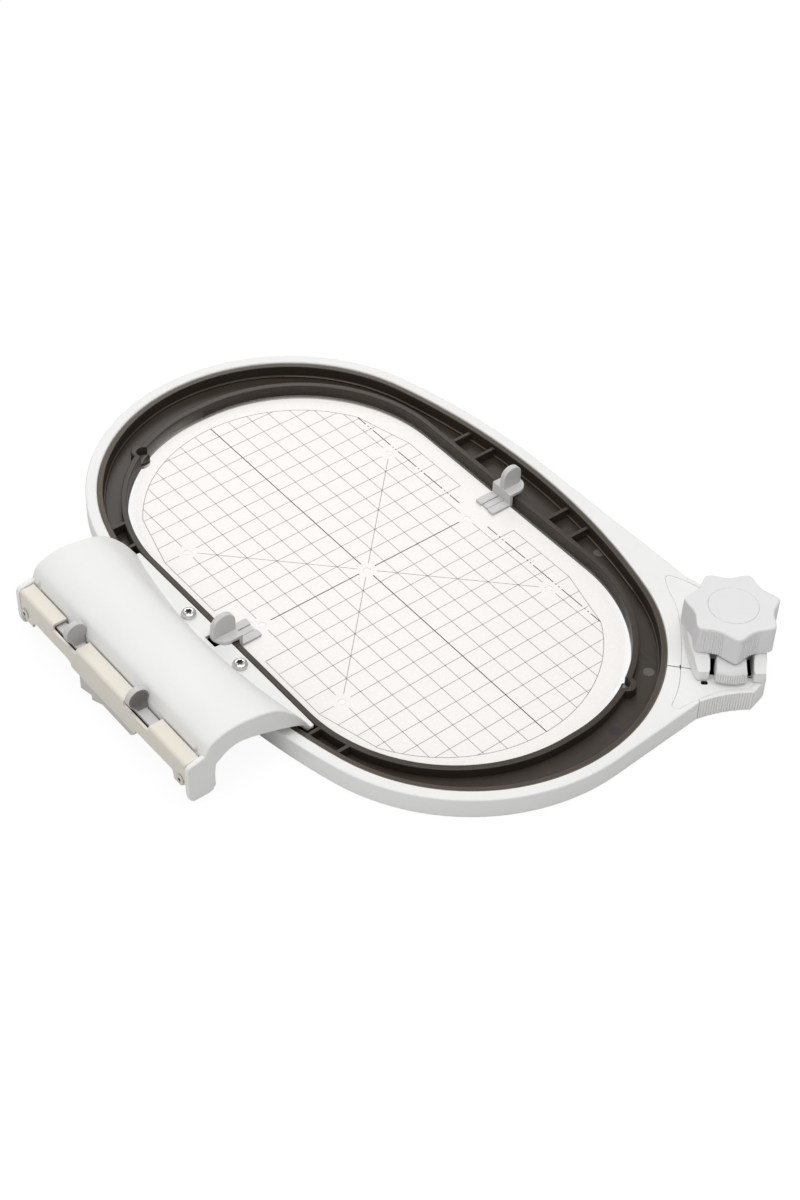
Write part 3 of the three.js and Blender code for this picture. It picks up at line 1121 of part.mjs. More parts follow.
// Inner ring with the coupling arm
const carrier = new THREE.Group();
carrier.add(piece('inner_ring', innerRing(), DARK));
carrier.add(piece('coupling_arm', couplingArm(), WHITE));
for (const [i, side] of [-1, 1].entries()) {
  const mesh = piece(`arm_screw_${i + 1}`,
    screw(SCREW_RADIUS, SCREW_HEAD_RADIUS, SCREW_HEAD_HEIGHT, SCREW_LENGTH), NICKEL);
  mesh.rotation.x = Math.PI;
  mesh.position.set(side * SCREW_SPACING / 2, SCREW_Y, FLANGE_TOP + FIT);
  carrier.add(mesh);
}
carrier.add(piece('coupling_rail', couplingRail(), BEIGE));
for (const [i, side] of [-1, 1].entries()) {
  const mesh = piece(`rail_screw_${i + 1}`,
    screw(RAIL_SCREW_RADIUS, RAIL_SCREW_HEAD, RAIL_SCREW_HEAD_HEIGHT, RAIL_SCREW_LENGTH), NICKEL);
  mesh.rotation.x = -Math.PI / 2;
  mesh.position.set(side * RAIL_SCREW_X, RAIL_FRONT - FIT, RAIL_SCREW_Z);
  carrier.add(mesh);
}
carrier.add(piece('slide_housing', slideHousing(), LIGHT_GREY));
for (const [i, side] of [-1, 1].entries()) {
  carrier.add(piece(`release_lever_${i + 1}`, releaseLever(side), LIGHT_GREY));
  carrier.add(piece(`lever_spring_${i + 1}`, leverSpring(side), STEEL));
}
hoop.add(carrier);

// Sewing template with a grip at each long edge
const sewing = new THREE.Group();
sewing.add(piece('template', template(), CLEAR));
for (const [i, turn] of [0, Math.PI].entries()) {
  const mesh = piece(`template_grip_${i + 1}`, templateGrip(), LIGHT_GREY);
  mesh.rotation.z = turn;
  sewing.add(mesh);
}
hoop.add(sewing);

export default hoop;
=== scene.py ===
"""Looks of a machine embroidery hoop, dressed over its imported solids.

Sizes are in millimetres and become metres in the meshes. +X points to the clamp, -Y to the machine, +Z up.
"""

import functools
import logging
import math
from dataclasses import dataclass, field
from enum import Enum
from typing import Any, Callable, Iterable, Optional, Sequence, Union

import bmesh
import bpy
import numpy as np
from mathutils import Euler, Matrix, Vector
from mathutils.geometry import tessellate_polygon


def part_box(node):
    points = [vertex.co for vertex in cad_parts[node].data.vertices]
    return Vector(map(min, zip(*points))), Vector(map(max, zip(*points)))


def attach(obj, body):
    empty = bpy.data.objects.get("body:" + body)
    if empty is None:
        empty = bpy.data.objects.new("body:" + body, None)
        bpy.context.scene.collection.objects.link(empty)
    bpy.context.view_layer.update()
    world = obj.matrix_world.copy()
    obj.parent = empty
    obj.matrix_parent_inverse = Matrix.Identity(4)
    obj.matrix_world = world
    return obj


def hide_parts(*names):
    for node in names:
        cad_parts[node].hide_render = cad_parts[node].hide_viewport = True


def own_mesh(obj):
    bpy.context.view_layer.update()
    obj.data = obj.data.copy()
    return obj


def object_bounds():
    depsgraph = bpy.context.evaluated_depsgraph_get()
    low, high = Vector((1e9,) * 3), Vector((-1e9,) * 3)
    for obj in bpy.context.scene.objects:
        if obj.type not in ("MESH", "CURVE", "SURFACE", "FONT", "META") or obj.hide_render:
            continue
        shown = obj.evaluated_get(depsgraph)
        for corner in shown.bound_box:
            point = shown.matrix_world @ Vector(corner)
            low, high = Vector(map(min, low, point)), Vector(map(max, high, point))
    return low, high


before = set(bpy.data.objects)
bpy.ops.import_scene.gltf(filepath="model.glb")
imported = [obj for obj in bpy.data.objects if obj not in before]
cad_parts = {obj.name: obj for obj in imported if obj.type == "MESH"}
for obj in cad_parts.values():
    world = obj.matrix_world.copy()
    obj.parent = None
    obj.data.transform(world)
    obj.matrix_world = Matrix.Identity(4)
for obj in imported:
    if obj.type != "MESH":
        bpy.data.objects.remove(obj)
CAD_BOX = [list(corner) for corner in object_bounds()]

Array = np.ndarray
Pair = tuple[float, float]
Triple = tuple[float, float, float]
Four = tuple[float, float, float, float]
Colour = Triple
Piece = bpy.types.Object
LOG = logging.getLogger("hoop")
MM = 0.001
TURN = 2 * np.pi
CLEARANCE = 0.3
SLIDE = 0.4
OVERCUT = 1.0
SIDES = (-1, 1)


class Axis(Enum):
    """Direction that an outline is extruded in, as the order of its coordinates."""

    X = (2, 0, 1)
    Y = (0, 2, 1)
    Z = (0, 1, 2)


class Body(Enum):
    """Rigid bodies of the hoop that pieces ride on."""

    OUTER = "outer_hoop"
    KNOB = "twist_knob"
    INNER = "inner_hoop"
    LEVER_1 = "lever_1"
    LEVER_2 = "lever_2"
    TEMPLATE = "template_body"


LEVERS = (Body.LEVER_1, Body.LEVER_2)


# Plane curves


def unit(vectors: Array) -> Array:
    """Vectors divided by their own length."""
    return vectors / np.linalg.norm(vectors, axis=-1, keepdims=True)


def once_round(count: int) -> Array:
    """Even angles over one full turn."""
    return np.linspace(0.0, TURN, count, endpoint=False)


def arc(centre: Sequence[float], radius: float, start: float, end: float, count: int) -> Array:
    """Points on a circle: centre plus radius times cosine and sine.

    Args:
        centre: Middle of the circle.
        radius: Its radius.
        start: First angle in radians.
        end: Angle after the last point.
        count: How many points.

    Returns:
        Points, one per row; the end itself is left to the next curve.
    """
    angles = np.linspace(start, end, count, endpoint=False)
    return np.array(centre) + radius * np.stack([np.cos(angles), np.sin(angles)], axis=1)


def circle(centre: Sequence[float], radius: float, count: int) -> Array:
    """Whole circle, anticlockwise."""
    return arc(centre, radius, 0.0, TURN, count)


def bezier(start: Sequence[float], pull: Sequence[float], end: Sequence[float], count: int) -> Array:
    """Quadratic curve: (1-t)^2 start + 2t(1-t) pull + t^2 end, for count values of t."""
    t = np.linspace(0.0, 1.0, count)[:, None]
    return (1 - t) ** 2 * np.array(start) + 2 * t * (1 - t) * np.array(pull) + t ** 2 * np.array(end)


def flowing(places: Array, count: int) -> Array:
    """Smooth curve through places: cubic pieces whose slope at a place is half the step across it.

    Args:
        places: Points along the first axis; further axes hold several curves at once.
        count: Points wanted along the curve.

    Returns:
        The curve, count points long.
    """
    last = len(places) - 1
    t = np.linspace(0.0, last, count)
    i = np.minimum(t.astype(int), last - 1)
    w = (t - i).reshape((-1,) + (1,) * (places.ndim - 1))
    first, second = places[i], places[i + 1]
    slope_in = (second - places[np.maximum(i - 1, 0)]) / 2
    slope_out = (places[np.minimum(i + 2, last)] - first) / 2
    cubic = (2 * first - 2 * second + slope_in + slope_out) * w ** 3
    square = (3 * second - 3 * first - 2 * slope_in - slope_out) * w ** 2
    return cubic + square + slope_in * w + first


def inset(outline: Array, distance: float) -> Array:
    """Closed outline drawn in by a distance, with mitred corners.

    A corner moves by distance times (n1 + n2) / (1 + n1.n2), where n1 and n2 are its edges' inward normals.

    Args:
        outline: Anticlockwise corners, one per row.
        distance: How far it is drawn in; less than 0 grows it.

    Returns:
        The new outline, corner for corner.
    """
    entry = unit(outline - np.roll(outline, 1, axis=0))
    first = np.stack([-entry[..., 1], entry[..., 0]], axis=-1)
    second = np.roll(first, -1, axis=0)
    spread = 1 + np.sum(first * second, axis=-1, keepdims=True)
    return outline + distance * (first + second) / np.maximum(spread, 0.4)


def filleted(points: Array, radius: float, steps: int = 4, closed: bool = True) -> Array:
    """Corners replaced by small quadratic curves.

    Args:
        points: Corners, one per row.
        radius: How far along its two edges each curve starts and ends.
        steps: Pieces per corner.
        closed: Whether the last corner joins the first.

    Returns:
        The softened outline.
    """
    back = np.roll(points, 1, axis=0) - points
    ahead = np.roll(points, -1, axis=0) - points
    start, end = ((points + unit(way) * np.minimum(radius, 0.45 * np.linalg.norm(way, axis=1, keepdims=True)))[:, None]
                  for way in (back, ahead))
    t = np.linspace(0.0, 1.0, steps + 1)[None, :, None]
    curves = (1 - t) ** 2 * start + 2 * t * (1 - t) * points[:, None] + t ** 2 * end
    if closed:
        return curves.reshape(-1, 2)
    return np.concatenate([points[:1], curves[1:-1].reshape(-1, 2), points[-1:]])


def at_bearings(outline: Array, bearings: Array) -> Array:
    """Points of a closed outline round the origin, at given polar angles, by linear interpolation."""
    angle = np.unwrap(np.arctan2(outline[:, 1], outline[:, 0]))
    order = np.argsort(angle)
    return np.stack([np.interp(bearings, angle[order], outline[order, i], period=TURN) for i in (0, 1)], axis=1)


def rectangle(low: Sequence[float], high: Sequence[float]) -> Array:
    """Four corners of a rectangle, anticlockwise."""
    return np.array([[low[0], low[1]], [high[0], low[1]], [high[0], high[1]], [low[0], high[1]]], float)


def rib_wave(t: Array, ribs: int) -> Array:
    """Row of rounded ribs on the unit run: a power of a sine, 0 in narrow grooves and 1 on broad ribs."""
    return np.abs(np.sin(np.pi * ribs * t)) ** 0.7


def at_height(outline: Array, z: float) -> Array:
    """Plane outline lifted to a height."""
    return np.concatenate([outline, np.full((len(outline), 1), z)], axis=1)


def over_stations(x: Array, places: Sequence[tuple[Any, Any]]) -> Array:
    """Places in Y and Z, each one number or one per station, as places by stations by two."""
    return np.stack([np.stack(np.broadcast_arrays(*place, x)[:2], axis=-1) for place in places])


def at_stations(x: Array, curves: Array) -> Array:
    """Curves in Y and Z over stations, as one row of points in X, Y and Z per station."""
    rows = curves.transpose(1, 0, 2)
    return np.concatenate([np.broadcast_to(x[:, None, None], rows.shape[:2] + (1,)), rows], axis=2)


# Surfaces


def quads(rows: int, columns: int, wrap: bool = False) -> Array:
    """Faces of a grid of points whose columns close on themselves, and whose rows may."""
    r = np.arange(rows if wrap else rows - 1)[:, None]
    c = np.arange(columns)[None, :]
    up = (r + 1) % rows
    right = (c + 1) % columns
    corners = [r * columns + c, r * columns + right, up * columns + right, up * columns + c]
    return np.stack(np.broadcast_arrays(*corners), axis=-1).reshape(-1, 4)


@dataclass
class Form:
    """A closed surface: corner points in millimetres, and blocks of faces with equal corner counts."""

    points: Array
    faces: list[Array]

    def __add__(self, other: "Form") -> "Form":
        """Both surfaces in one form."""
        shift = len(self.points)
        return Form(np.concatenate([self.points, other.points]), self.faces + [f + shift for f in other.faces])

    def along(self, axis: Axis) -> "Form":
        """The same form with its extrusion turned to another axis."""
        return Form(self.points[:, list(axis.value)], self.faces)

    def moved(self, *offset: float) -> "Form":
        """The same form shifted by X, Y and Z."""
        return Form(self.points + np.array(offset), self.faces)

    def turned(self, degrees: float) -> "Form":
        """The same form turned about Z."""
        c, s = math.cos(math.radians(degrees)), math.sin(math.radians(degrees))
        return Form(self.points @ np.array([[c, s, 0], [-s, c, 0], [0, 0, 1]]), self.faces)

    def mesh(self, name: str) -> bpy.types.Mesh:
        """Blender mesh of the form in metres, with its faces turned outwards."""
        mesh = bpy.data.meshes.new(name)
        mesh.from_pydata((self.points * MM).tolist(), [], [f for block in self.faces for f in block.tolist()])
        skin = bmesh.new()
        skin.from_mesh(mesh)
        bmesh.ops.recalc_face_normals(skin, faces=skin.faces)
        skin.to_mesh(mesh)
        skin.free()
        return mesh


def filled(loops: Sequence[Array]) -> Array:
    """Triangles over a plane region: an outline, then its holes.

    Args:
        loops: Outlines as rows of X and Y.

    Returns:
        Corner numbers, counted through all loops in order.
    """
    polygons = [[Vector((x, y, 0.0)) for x, y in loop] for loop in loops]
    return np.array(tessellate_polygon(polygons))


def loft(rows: Sequence[Array], plane: Optional[list[int]] = None, wrap: bool = False) -> Form:
    """Surface through equal closed rows of points.

    Args:
        rows: Rows of points in X, Y and Z.
        plane: The two coordinates in which uneven end rows are filled; even ones need none.
        wrap: Whether the last row joins the first, so that there are no ends.

    Returns:
        A closed form.
    """
    grid = np.stack(rows)
    count, size = grid.shape[:2]
    faces = [quads(count, size, wrap)]
    for row in () if wrap else (0, count - 1):
        end = filled([grid[row][:, plane]]) if plane else np.arange(size)[None, :]
        faces.append(end + row * size)
    return Form(grid.reshape(-1, 3), faces)


def quarter_round(radius: float, steps: int) -> tuple[Array, Array]:
    """How far an edge is drawn in and raised at angles round it, from the face to the wall."""
    turn = np.linspace(0.0, np.pi / 2, steps + 1) if radius else np.zeros(1)
    return radius * (1 - np.sin(turn)), radius * (1 - np.cos(turn))


def prism(outline: Array, low: float, high: float, radius: float = 0.0, holes: Sequence[Array] = (),
          steps: int = 4, base_radius: Optional[float] = None) -> Form:
    """Upright prism with quarter-round edges, or square ones where the radius is 0.

    At an angle a round an edge the wall is drawn in by radius (1 - sin a) and raised by radius (1 - cos a).

    Args:
        outline: Anticlockwise outline.
        low: Height of the base.
        high: Height of the top.
        radius: Radius of the edges.
        holes: Anticlockwise outlines of openings.
        steps: Pieces in each quarter round.
        base_radius: Radius of the lower edges, where it differs.

    Returns:
        A closed form.
    """
    top_draw, top_rise = quarter_round(radius, steps)
    base_draw, base_rise = quarter_round(radius if base_radius is None else base_radius, steps)
    draws = np.concatenate([base_draw, top_draw[::-1]])
    heights = np.concatenate([low + base_rise, high - top_rise[::-1]])
    points, faces, numbers, start = [], [], [], 0
    walls = [np.stack([inset(loop, d) for d in draws]) for loop in (outline, *(hole[::-1] for hole in holes))]
    for rows in walls:
        count = rows.shape[1]
        lift = np.broadcast_to(heights[:, None, None], rows.shape[:2] + (1,))
        points.append(np.concatenate([rows, lift], axis=2).reshape(-1, 3))
        faces.append(quads(len(draws), count) + start)
        numbers.append(start + np.arange(len(draws) * count).reshape(-1, count))
        start += len(draws) * count
    for row in (0, -1):
        faces.append(np.concatenate([n[row] for n in numbers])[filled([rows[row] for rows in walls])])
    return Form(np.concatenate(points), faces)


def block(low: Sequence[float], high: Sequence[float], radius: float = 0.0) -> Form:
    """Four between two corners, with rounded edges on request."""
    plan = rectangle(low, high)
    if radius:
        plan = filleted(plan, radius, 3)
    return prism(plan, low[2], high[2], radius * 0.9, steps=3)


def slab(side: int, x: Pair, y: Pair, z: Pair, radius: float = 0.0) -> Form:
    """Four given by its stretches on the +X side, and mirrored to either side."""
    near, far = x if side > 0 else (-x[1], -x[0])
    return block((near, y[0], z[0]), (far, y[1], z[1]), radius)


def rod(x: float, y: float, radius: float, low: float, high: float, sides: int = 40) -> Form:
    """Upright round bar with square edges."""
    return prism(circle((x, y), radius, sides), low, high)


def lathe(profile: Array, sides: int = 64) -> Form:
    """Profile spun about Z: radius times cosine and sine, at its own height; both ends lie close to the axis."""
    turn = once_round(sides)
    x, y = profile[:, :1] * np.cos(turn), profile[:, :1] * np.sin(turn)
    return loft(np.stack([x, y, np.broadcast_to(profile[:, 1:], x.shape)], axis=-1))


def tube(line: Array, radius: float, sides: int = 10) -> Form:
    """Round tube along a line of points, each ring square to the line, with both ends closed.

    A ring's point is the line's point plus radius times (cosine times normal plus sine times binormal).
    """
    ahead = unit(np.gradient(line, axis=0))
    normal = unit(np.cross(ahead, np.array([1.0, 0.0, 0.3])))
    other = np.cross(ahead, normal)
    turn = once_round(sides)[None, :, None]
    return loft(line[:, None] + radius * (np.cos(turn) * normal[:, None] + np.sin(turn) * other[:, None]))


def linked(name: str, data: bpy.types.ID) -> Piece:
    """Object that shows a mesh, a lamp or a camera in the scene."""
    obj = bpy.data.objects.new(name, data)
    bpy.context.scene.collection.objects.link(obj)
    return obj


def shaped(name: str, form: Form, add: Iterable[Form], cut: Iterable[Form]) -> Piece:
    """Object of a form, with other forms joined to it and cut from it by exact booleans.

    Args:
        name: Name of the piece.
        form: The form to start from.
        add: Forms to join.
        cut: Forms to cut away afterwards.

    Returns:
        The finished object, with no modifier left.
    """
    obj = linked(name, form.mesh(name))
    steps = [(other, "UNION") for other in add] + [(other, "DIFFERENCE") for other in cut]
    tools = []
    for other, operation in steps:
        tool = linked(f"{name}_tool", other.mesh(f"{name}_tool"))
        modifier = obj.modifiers.new(operation.lower(), "BOOLEAN")
        modifier.operation = operation
        modifier.solver = "EXACT"
        modifier.object = tool
        tools.append(tool)
    if tools:
        plain = obj.data
        graph = bpy.context.evaluated_depsgraph_get()
        obj.data = bpy.data.meshes.new_from_object(obj.evaluated_get(graph))
        obj.modifiers.clear()
        for mesh in [plain, *(tool.data for tool in tools)]:
            bpy.data.meshes.remove(mesh)
        obj.data.name = name
    return obj


# Shader graphs


def math_node(operation: str, reflected: bool = False) -> Callable[["Value", "Number"], "Value"]:
    """Method that turns one of Python's operators into a Math node.

    Args:
        operation: The node's operation.
        reflected: Whether the other value comes first.

    Returns:
        The method.
    """
    def apply(value: "Value", other: "Number") -> "Value":
        """Math node of two values."""
        pair = (other, value) if reflected else (value, other)
        return value.graph.add("ShaderNodeMath", {"operation": operation}, dict(enumerate(pair)))
    return apply


class Value:
    """A shader socket that Python's operators turn into Math nodes."""

    def __init__(self, graph: "Graph", socket: bpy.types.NodeSocket) -> None:
        """Keeps the socket and the graph that it belongs to."""
        self.graph = graph
        self.socket = socket

    __add__, __radd__ = math_node("ADD"), math_node("ADD", True)
    __sub__, __rsub__ = math_node("SUBTRACT"), math_node("SUBTRACT", True)
    __mul__, __rmul__ = math_node("MULTIPLY"), math_node("MULTIPLY", True)
    least = math_node("MINIMUM")


Number = Union[Value, float, int]
Sockets = dict[Union[str, int], Any]


class Graph:
    """Node tree of one material or world."""

    def __init__(self, tree: bpy.types.NodeTree) -> None:
        """Takes a tree and empties it."""
        self.tree = tree
        self.tree.nodes.clear()

    def add(self, kind: str, settings: Optional[dict[str, Any]] = None, inputs: Optional[Sockets] = None,
            output: Union[str, int] = 0) -> Optional[Value]:
        """Makes any node.

        Args:
            kind: Node type.
            settings: Properties to set first.
            inputs: Values or links of its sockets.
            output: Socket to hand back.

        Returns:
            The chosen output, or None for a node without one.
        """
        node = self.tree.nodes.new(kind)
        for key, setting in (settings or {}).items():
            setattr(node, key, setting)
        for key, value in (inputs or {}).items():
            if isinstance(value, Value):
                self.tree.links.new(value.socket, node.inputs[key])
            else:
                node.inputs[key].default_value = value
        return Value(self, node.outputs[output]) if len(node.outputs) else None

    @functools.cached_property
    def place(self) -> Value:
        """Object coordinates in metres."""
        return self.add("ShaderNodeTexCoord", output="Object")

    def stretched(self, scale: Sequence[float], turn: float = 0.0) -> Value:
        """Object coordinates turned about Z and stretched."""
        return self.add("ShaderNodeMapping", {}, {
            "Vector": self.place, "Rotation": (0.0, 0.0, turn), "Scale": scale}, "Vector")

    def noise(self, scale: float, detail: float, place: Optional[Value] = None) -> Value:
        """Noise from 0 to 1 with a number of features per metre."""
        return self.add("ShaderNodeTexNoise", {}, {"Vector": place or self.place, "Scale": scale, "Detail": detail})

    def step(self, value: Value, low: float, high: float) -> Value:
        """Smooth ramp from 0 at low to 1 at high."""
        return self.add("ShaderNodeMapRange", {"interpolation_type": "SMOOTHSTEP"},
                        {"Value": value, "From Min": low, "From Max": high})

    def blend(self, share: Value, first: Any, second: Any) -> Value:
        """Mix of two colours."""
        return self.add("ShaderNodeMix", {"data_type": "RGBA"}, {0: share, 6: first, 7: second}, 2)

    def vector(self, operation: str, *values: Any, output: Union[str, int] = 0) -> Value:
        """Vector Math node."""
        return self.add("ShaderNodeVectorMath", {"operation": operation}, dict(enumerate(values)), output)

    def bump(self, height: Value, strength: float, distance: float) -> Value:
        """Surface normal of a height."""
        return self.add("ShaderNodeBump", {}, {"Height": height, "Strength": strength, "Distance": distance})

    def seen(self) -> Value:
        """1 for rays from the camera, 0 for reflections and for light on its way."""
        return self.add("ShaderNodeLightPath", output="Is Camera Ray")

    def close(self, surface: Value, kind: str = "Material") -> None:
        """Ends the graph in its output node."""
        self.add(f"ShaderNodeOutput{kind}", {}, {"Surface": surface})

    def skin(self, inputs: Sockets) -> None:
        """Ends the graph in a principled surface."""
        self.close(self.add("ShaderNodeBsdfPrincipled", {}, inputs))


def linear(colour: Sequence[float], shade: float = 1.0) -> Four:
    """Screen colour of 0 to 255 as scene-linear red, green, blue and alpha.

    Args:
        colour: Screen values.
        shade: Factor on the linear values.

    Returns:
        Values for a colour socket.
    """
    c = np.array(colour) / 255.0
    values = shade * np.where(c <= 0.04045, c / 12.92, ((c + 0.055) / 1.055) ** 2.4)
    return (*values.tolist(), 1.0)


@dataclass(frozen=True)
class Moulding:
    """Moulded plastic: broad mottling, specks of dust and a fine eroded grain."""

    name: str
    slot: str
    colour: Colour
    roughness: float = 0.5
    mottle: float = 0.05
    grain: float = 0.16
    dust: float = 0.0
    wear: Colour = (150, 145, 138)
    tints: tuple[tuple[str, Colour], ...] = ()

    def dress(self, graph: Graph) -> None:
        """Fills a material's graph; each tint's colour covers the share that its mesh attribute gives."""
        cloud, speck, grain = graph.noise(45.0, 3.0), graph.noise(800.0, 3.0), graph.noise(4200.0, 1.0)
        tone = graph.step(cloud * 0.7 + speck * 0.3, 0.3, 0.7)
        colour = graph.blend(tone, linear(self.colour, 1 - self.mottle), linear(self.colour))
        if self.dust:
            colour = graph.blend(self.worn(graph) * self.dust, colour, linear(self.wear))
        for attribute, tint in self.tints:
            share = graph.add("ShaderNodeAttribute", {"attribute_name": attribute}, output="Fac")
            colour = graph.blend(share * (0.7 + 0.6 * (cloud - 0.5)), colour, linear(tint))
        rough = self.roughness + 0.14 * (speck - 0.5) + 0.1 * (cloud - 0.5)
        normal = graph.bump(grain + 0.35 * speck, self.grain, 0.00006)
        graph.skin({"Base Color": colour, "Roughness": rough, "Normal": normal, "Specular IOR Level": 0.42})

    @staticmethod
    def worn(graph: Graph) -> Value:
        """Share of scuffed surface: long scratches two ways, and specks of lint."""
        scratch = graph.step(graph.noise(1.0, 2.0, graph.stretched((30.0, 1500.0, 300.0))), 0.66, 0.8)
        crossing = graph.step(graph.noise(1.0, 2.0, graph.stretched((1300.0, 40.0, 300.0), 0.9)), 0.68, 0.82)
        lint = graph.step(graph.noise(420.0, 4.0), 0.66, 0.74)
        return (scratch * 0.5 + crossing * 0.4 + lint * 0.55).least(1.0)


@dataclass(frozen=True)
class ClearPlate:
    """Milky clear plate with faint clouds and handling marks; the milk lies in its upper half."""

    name: str
    slot: str
    colour: Colour
    opacity: float
    roughness: float
    core: Pair = (60.0, 3.0)
    reach: float = 77.3

    def rim(self, graph: Graph) -> Value:
        """Share of the rim that is made clearer, so that the glowing floor shows through where the ring's shadow would
        darken the plate, which paints out that shadow; it grows with the distance from the plate's core rectangle,
        close to the reach of its edge.
        """
        core = tuple(side * MM for side in self.core) + (1.0,)
        beyond = graph.vector("SUBTRACT", graph.vector("ABSOLUTE", graph.place), core)
        outside = graph.vector("MAXIMUM", beyond, (0.0, 0.0, 0.0))
        away = graph.vector("LENGTH", outside, output="Value")
        return graph.step(away, (self.reach - 3.5) * MM, (self.reach - 0.3) * MM)

    def dress(self, graph: Graph) -> None:
        """Fills a material's graph."""
        cloud, marks = graph.noise(28.0, 3.0), graph.noise(520.0, 4.0)
        colour = graph.blend(graph.step(cloud, 0.3, 0.7), linear(self.colour, 0.985), linear(self.colour))
        rough = self.roughness + 0.12 * graph.step(marks, 0.5, 0.75) + 0.05 * (cloud - 0.5)
        height = graph.add("ShaderNodeSeparateXYZ", {}, {"Vector": graph.place}, "Z")
        opacity = (self.opacity + 0.06 * (cloud - 0.5)) * graph.step(height, 0.001, 0.0017)
        # Painted light: the rim is made clearer so that the glowing floor hides the ring's shadow on the plate.
        opacity = opacity * (1.0 - 0.8 * self.rim(graph))
        normal = graph.bump(cloud + 0.02 * marks, 0.06, 0.0002)
        graph.skin({"Base Color": colour, "Roughness": rough, "Alpha": opacity, "Normal": normal})


@dataclass(frozen=True)
class Ink:
    """Printed line whose ink lies unevenly."""

    name: str
    slot: str
    colour: Colour
    fade: Colour

    def dress(self, graph: Graph) -> None:
        """Fills a material's graph."""
        cover = graph.step(graph.noise(1600.0, 2.0), 0.3, 0.75)
        colour = graph.blend(cover * 0.6 + graph.noise(35.0, 2.0) * 0.4, linear(self.colour), linear(self.fade))
        graph.skin({"Base Color": colour, "Roughness": 0.55 + 0.2 * cover})


@dataclass(frozen=True)
class Plated:
    """Bright metal with fine turning lines and small dull spots."""

    name: str
    slot: str
    colour: Colour
    roughness: float
    metallic: float = 1.0

    def dress(self, graph: Graph) -> None:
        """Fills a material's graph."""
        lines = graph.noise(1.0, 2.0, graph.stretched((400.0, 400.0, 9000.0)))
        spots = graph.noise(900.0, 3.0)
        colour = graph.blend(graph.step(spots, 0.35, 0.7), linear(self.colour, 0.82), linear(self.colour))
        rough = self.roughness + 0.2 * graph.step(spots, 0.55, 0.75) + 0.08 * (lines - 0.5)
        graph.skin({"Base Color": colour, "Roughness": rough, "Metallic": self.metallic,
                    "Normal": graph.bump(lines, 0.08, 0.00003)})


Finish = Union[Moulding, ClearPlate, Ink, Plated]

WHITE = Moulding("moulded white", "white_plastic", (242, 242, 240), 0.46, 0.025)
GREY_WHITE = Moulding("moulded grey-white", "grey_white_plastic", (233, 233, 233), 0.46, 0.025)
# The dark ring's tints: its outer rim edge, worn and painted lighter as if lit, a painted highlight line along the far
# step, and a painted reflection down the window's wall.
DARK = Moulding("moulded dark", "dark_plastic", (60, 52, 44), 0.36, 0.2, 0.3, 0.3, (116, 107, 95),
                (("rubbed_and_painted_light", (128, 114, 94)), ("sheen", (206, 202, 197))))
# Colour of the light moulding marks, also painted shade in the screws' recesses.
MARK_AND_RECESS_SHADE = Moulding("rubbed dark", "dark_plastic", (100, 95, 89), 0.5, 0.2, 0.3)
# Dark colour of painted shade inside openings and gaps, also the colour of a dark moulding mark.
SHADE_AND_DARK_MARK = Moulding("painted shade and dark mark", "dark_plastic", (52, 48, 45), 0.6, 0.1)
LIGHT_GREY = Moulding("moulded light grey", "light_grey_plastic", (210, 209, 208), 0.42, 0.04)
# Painted shade on a lever fin's inner face, with a matt surface.
MATT_SHADE_GREY = Moulding("matt light grey with painted shade", "light_grey_plastic", (186, 184, 183), 0.55, 0.05)
# Painted shade of the studded texture, on a lever fin's pushed face and on its studs.
STUD_SHADE_GREY = Moulding("studded grey with painted shade", "light_grey_plastic", (136, 133, 131), 0.5, 0.06)
BEIGE = Moulding("painted beige", "beige_rail", (233, 227, 215), 0.38, 0.025, 0.1)
CLEAR = ClearPlate("milky clear plate", "clear_plate", (248, 242, 237), 0.6, 0.22)
LINE = Ink("printed line", "clear_plate", (112, 110, 112), (158, 155, 156))
BOLD_LINE = Ink("printed bold line", "clear_plate", (62, 60, 64), (96, 94, 98))
NICKEL = Plated("bright nickel", "nickel", (226, 225, 223), 0.16, 0.75)
ZINC = Plated("satin zinc", "nickel", (236, 231, 222), 0.42, 0.3)
STEEL = Plated("plain steel", "steel", (168, 168, 170), 0.34)


def blank(name: str) -> tuple[bpy.types.Material, Graph]:
    """New material and its empty graph."""
    material = bpy.data.materials.new(name)
    material.use_nodes = True
    return material, Graph(material.node_tree)


@functools.cache
def material_of(finish: Finish) -> bpy.types.Material:
    """The material of a finish, made on first use."""
    material, graph = blank(finish.name)
    finish.dress(graph)
    return material


def make(name: str, finish: Finish, body: Body, form: Form, add: Iterable[Form] = (), cut: Iterable[Form] = (),
         crease: float = 32.0, solid: bool = True) -> Piece:
    """Makes a piece, gives it its finish and smooth shading, and fixes it to its body.

    Args:
        name: Name of the solid that the piece stands for, or of the trim.
        finish: Its finish.
        body: What it rides on.
        form: The form to start from.
        add: Forms to join.
        cut: Forms to cut away afterwards.
        crease: Edges sharper than this many degrees stay crisp.
        solid: Whether it stands for a solid.

    Returns:
        The finished object, at the origin.
    """
    piece = shaped(f"{name}_form" if solid else name, form, add, cut)
    piece.data.materials.clear()
    piece.data.materials.append(material_of(finish))
    piece.data.shade_smooth()
    piece.data.set_sharp_from_angle(angle=math.radians(crease))
    piece.modifiers.new("even normals", "WEIGHTED_NORMAL").keep_sharp = True
    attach(piece, body.value)
    if solid:
        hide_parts(name)
    LOG.info("%s: %d faces on %s", piece.name, len(piece.data.polygons), body.value)
    return piece


def face_values(piece: Piece, name: str) -> Array:
    """Centres or normals of a piece's faces; centres come in millimetres."""
    values = np.empty(3 * len(piece.data.polygons))
    piece.data.polygons.foreach_get(name, values)
    return values.reshape(-1, 3) / (MM if name == "center" else 1.0)


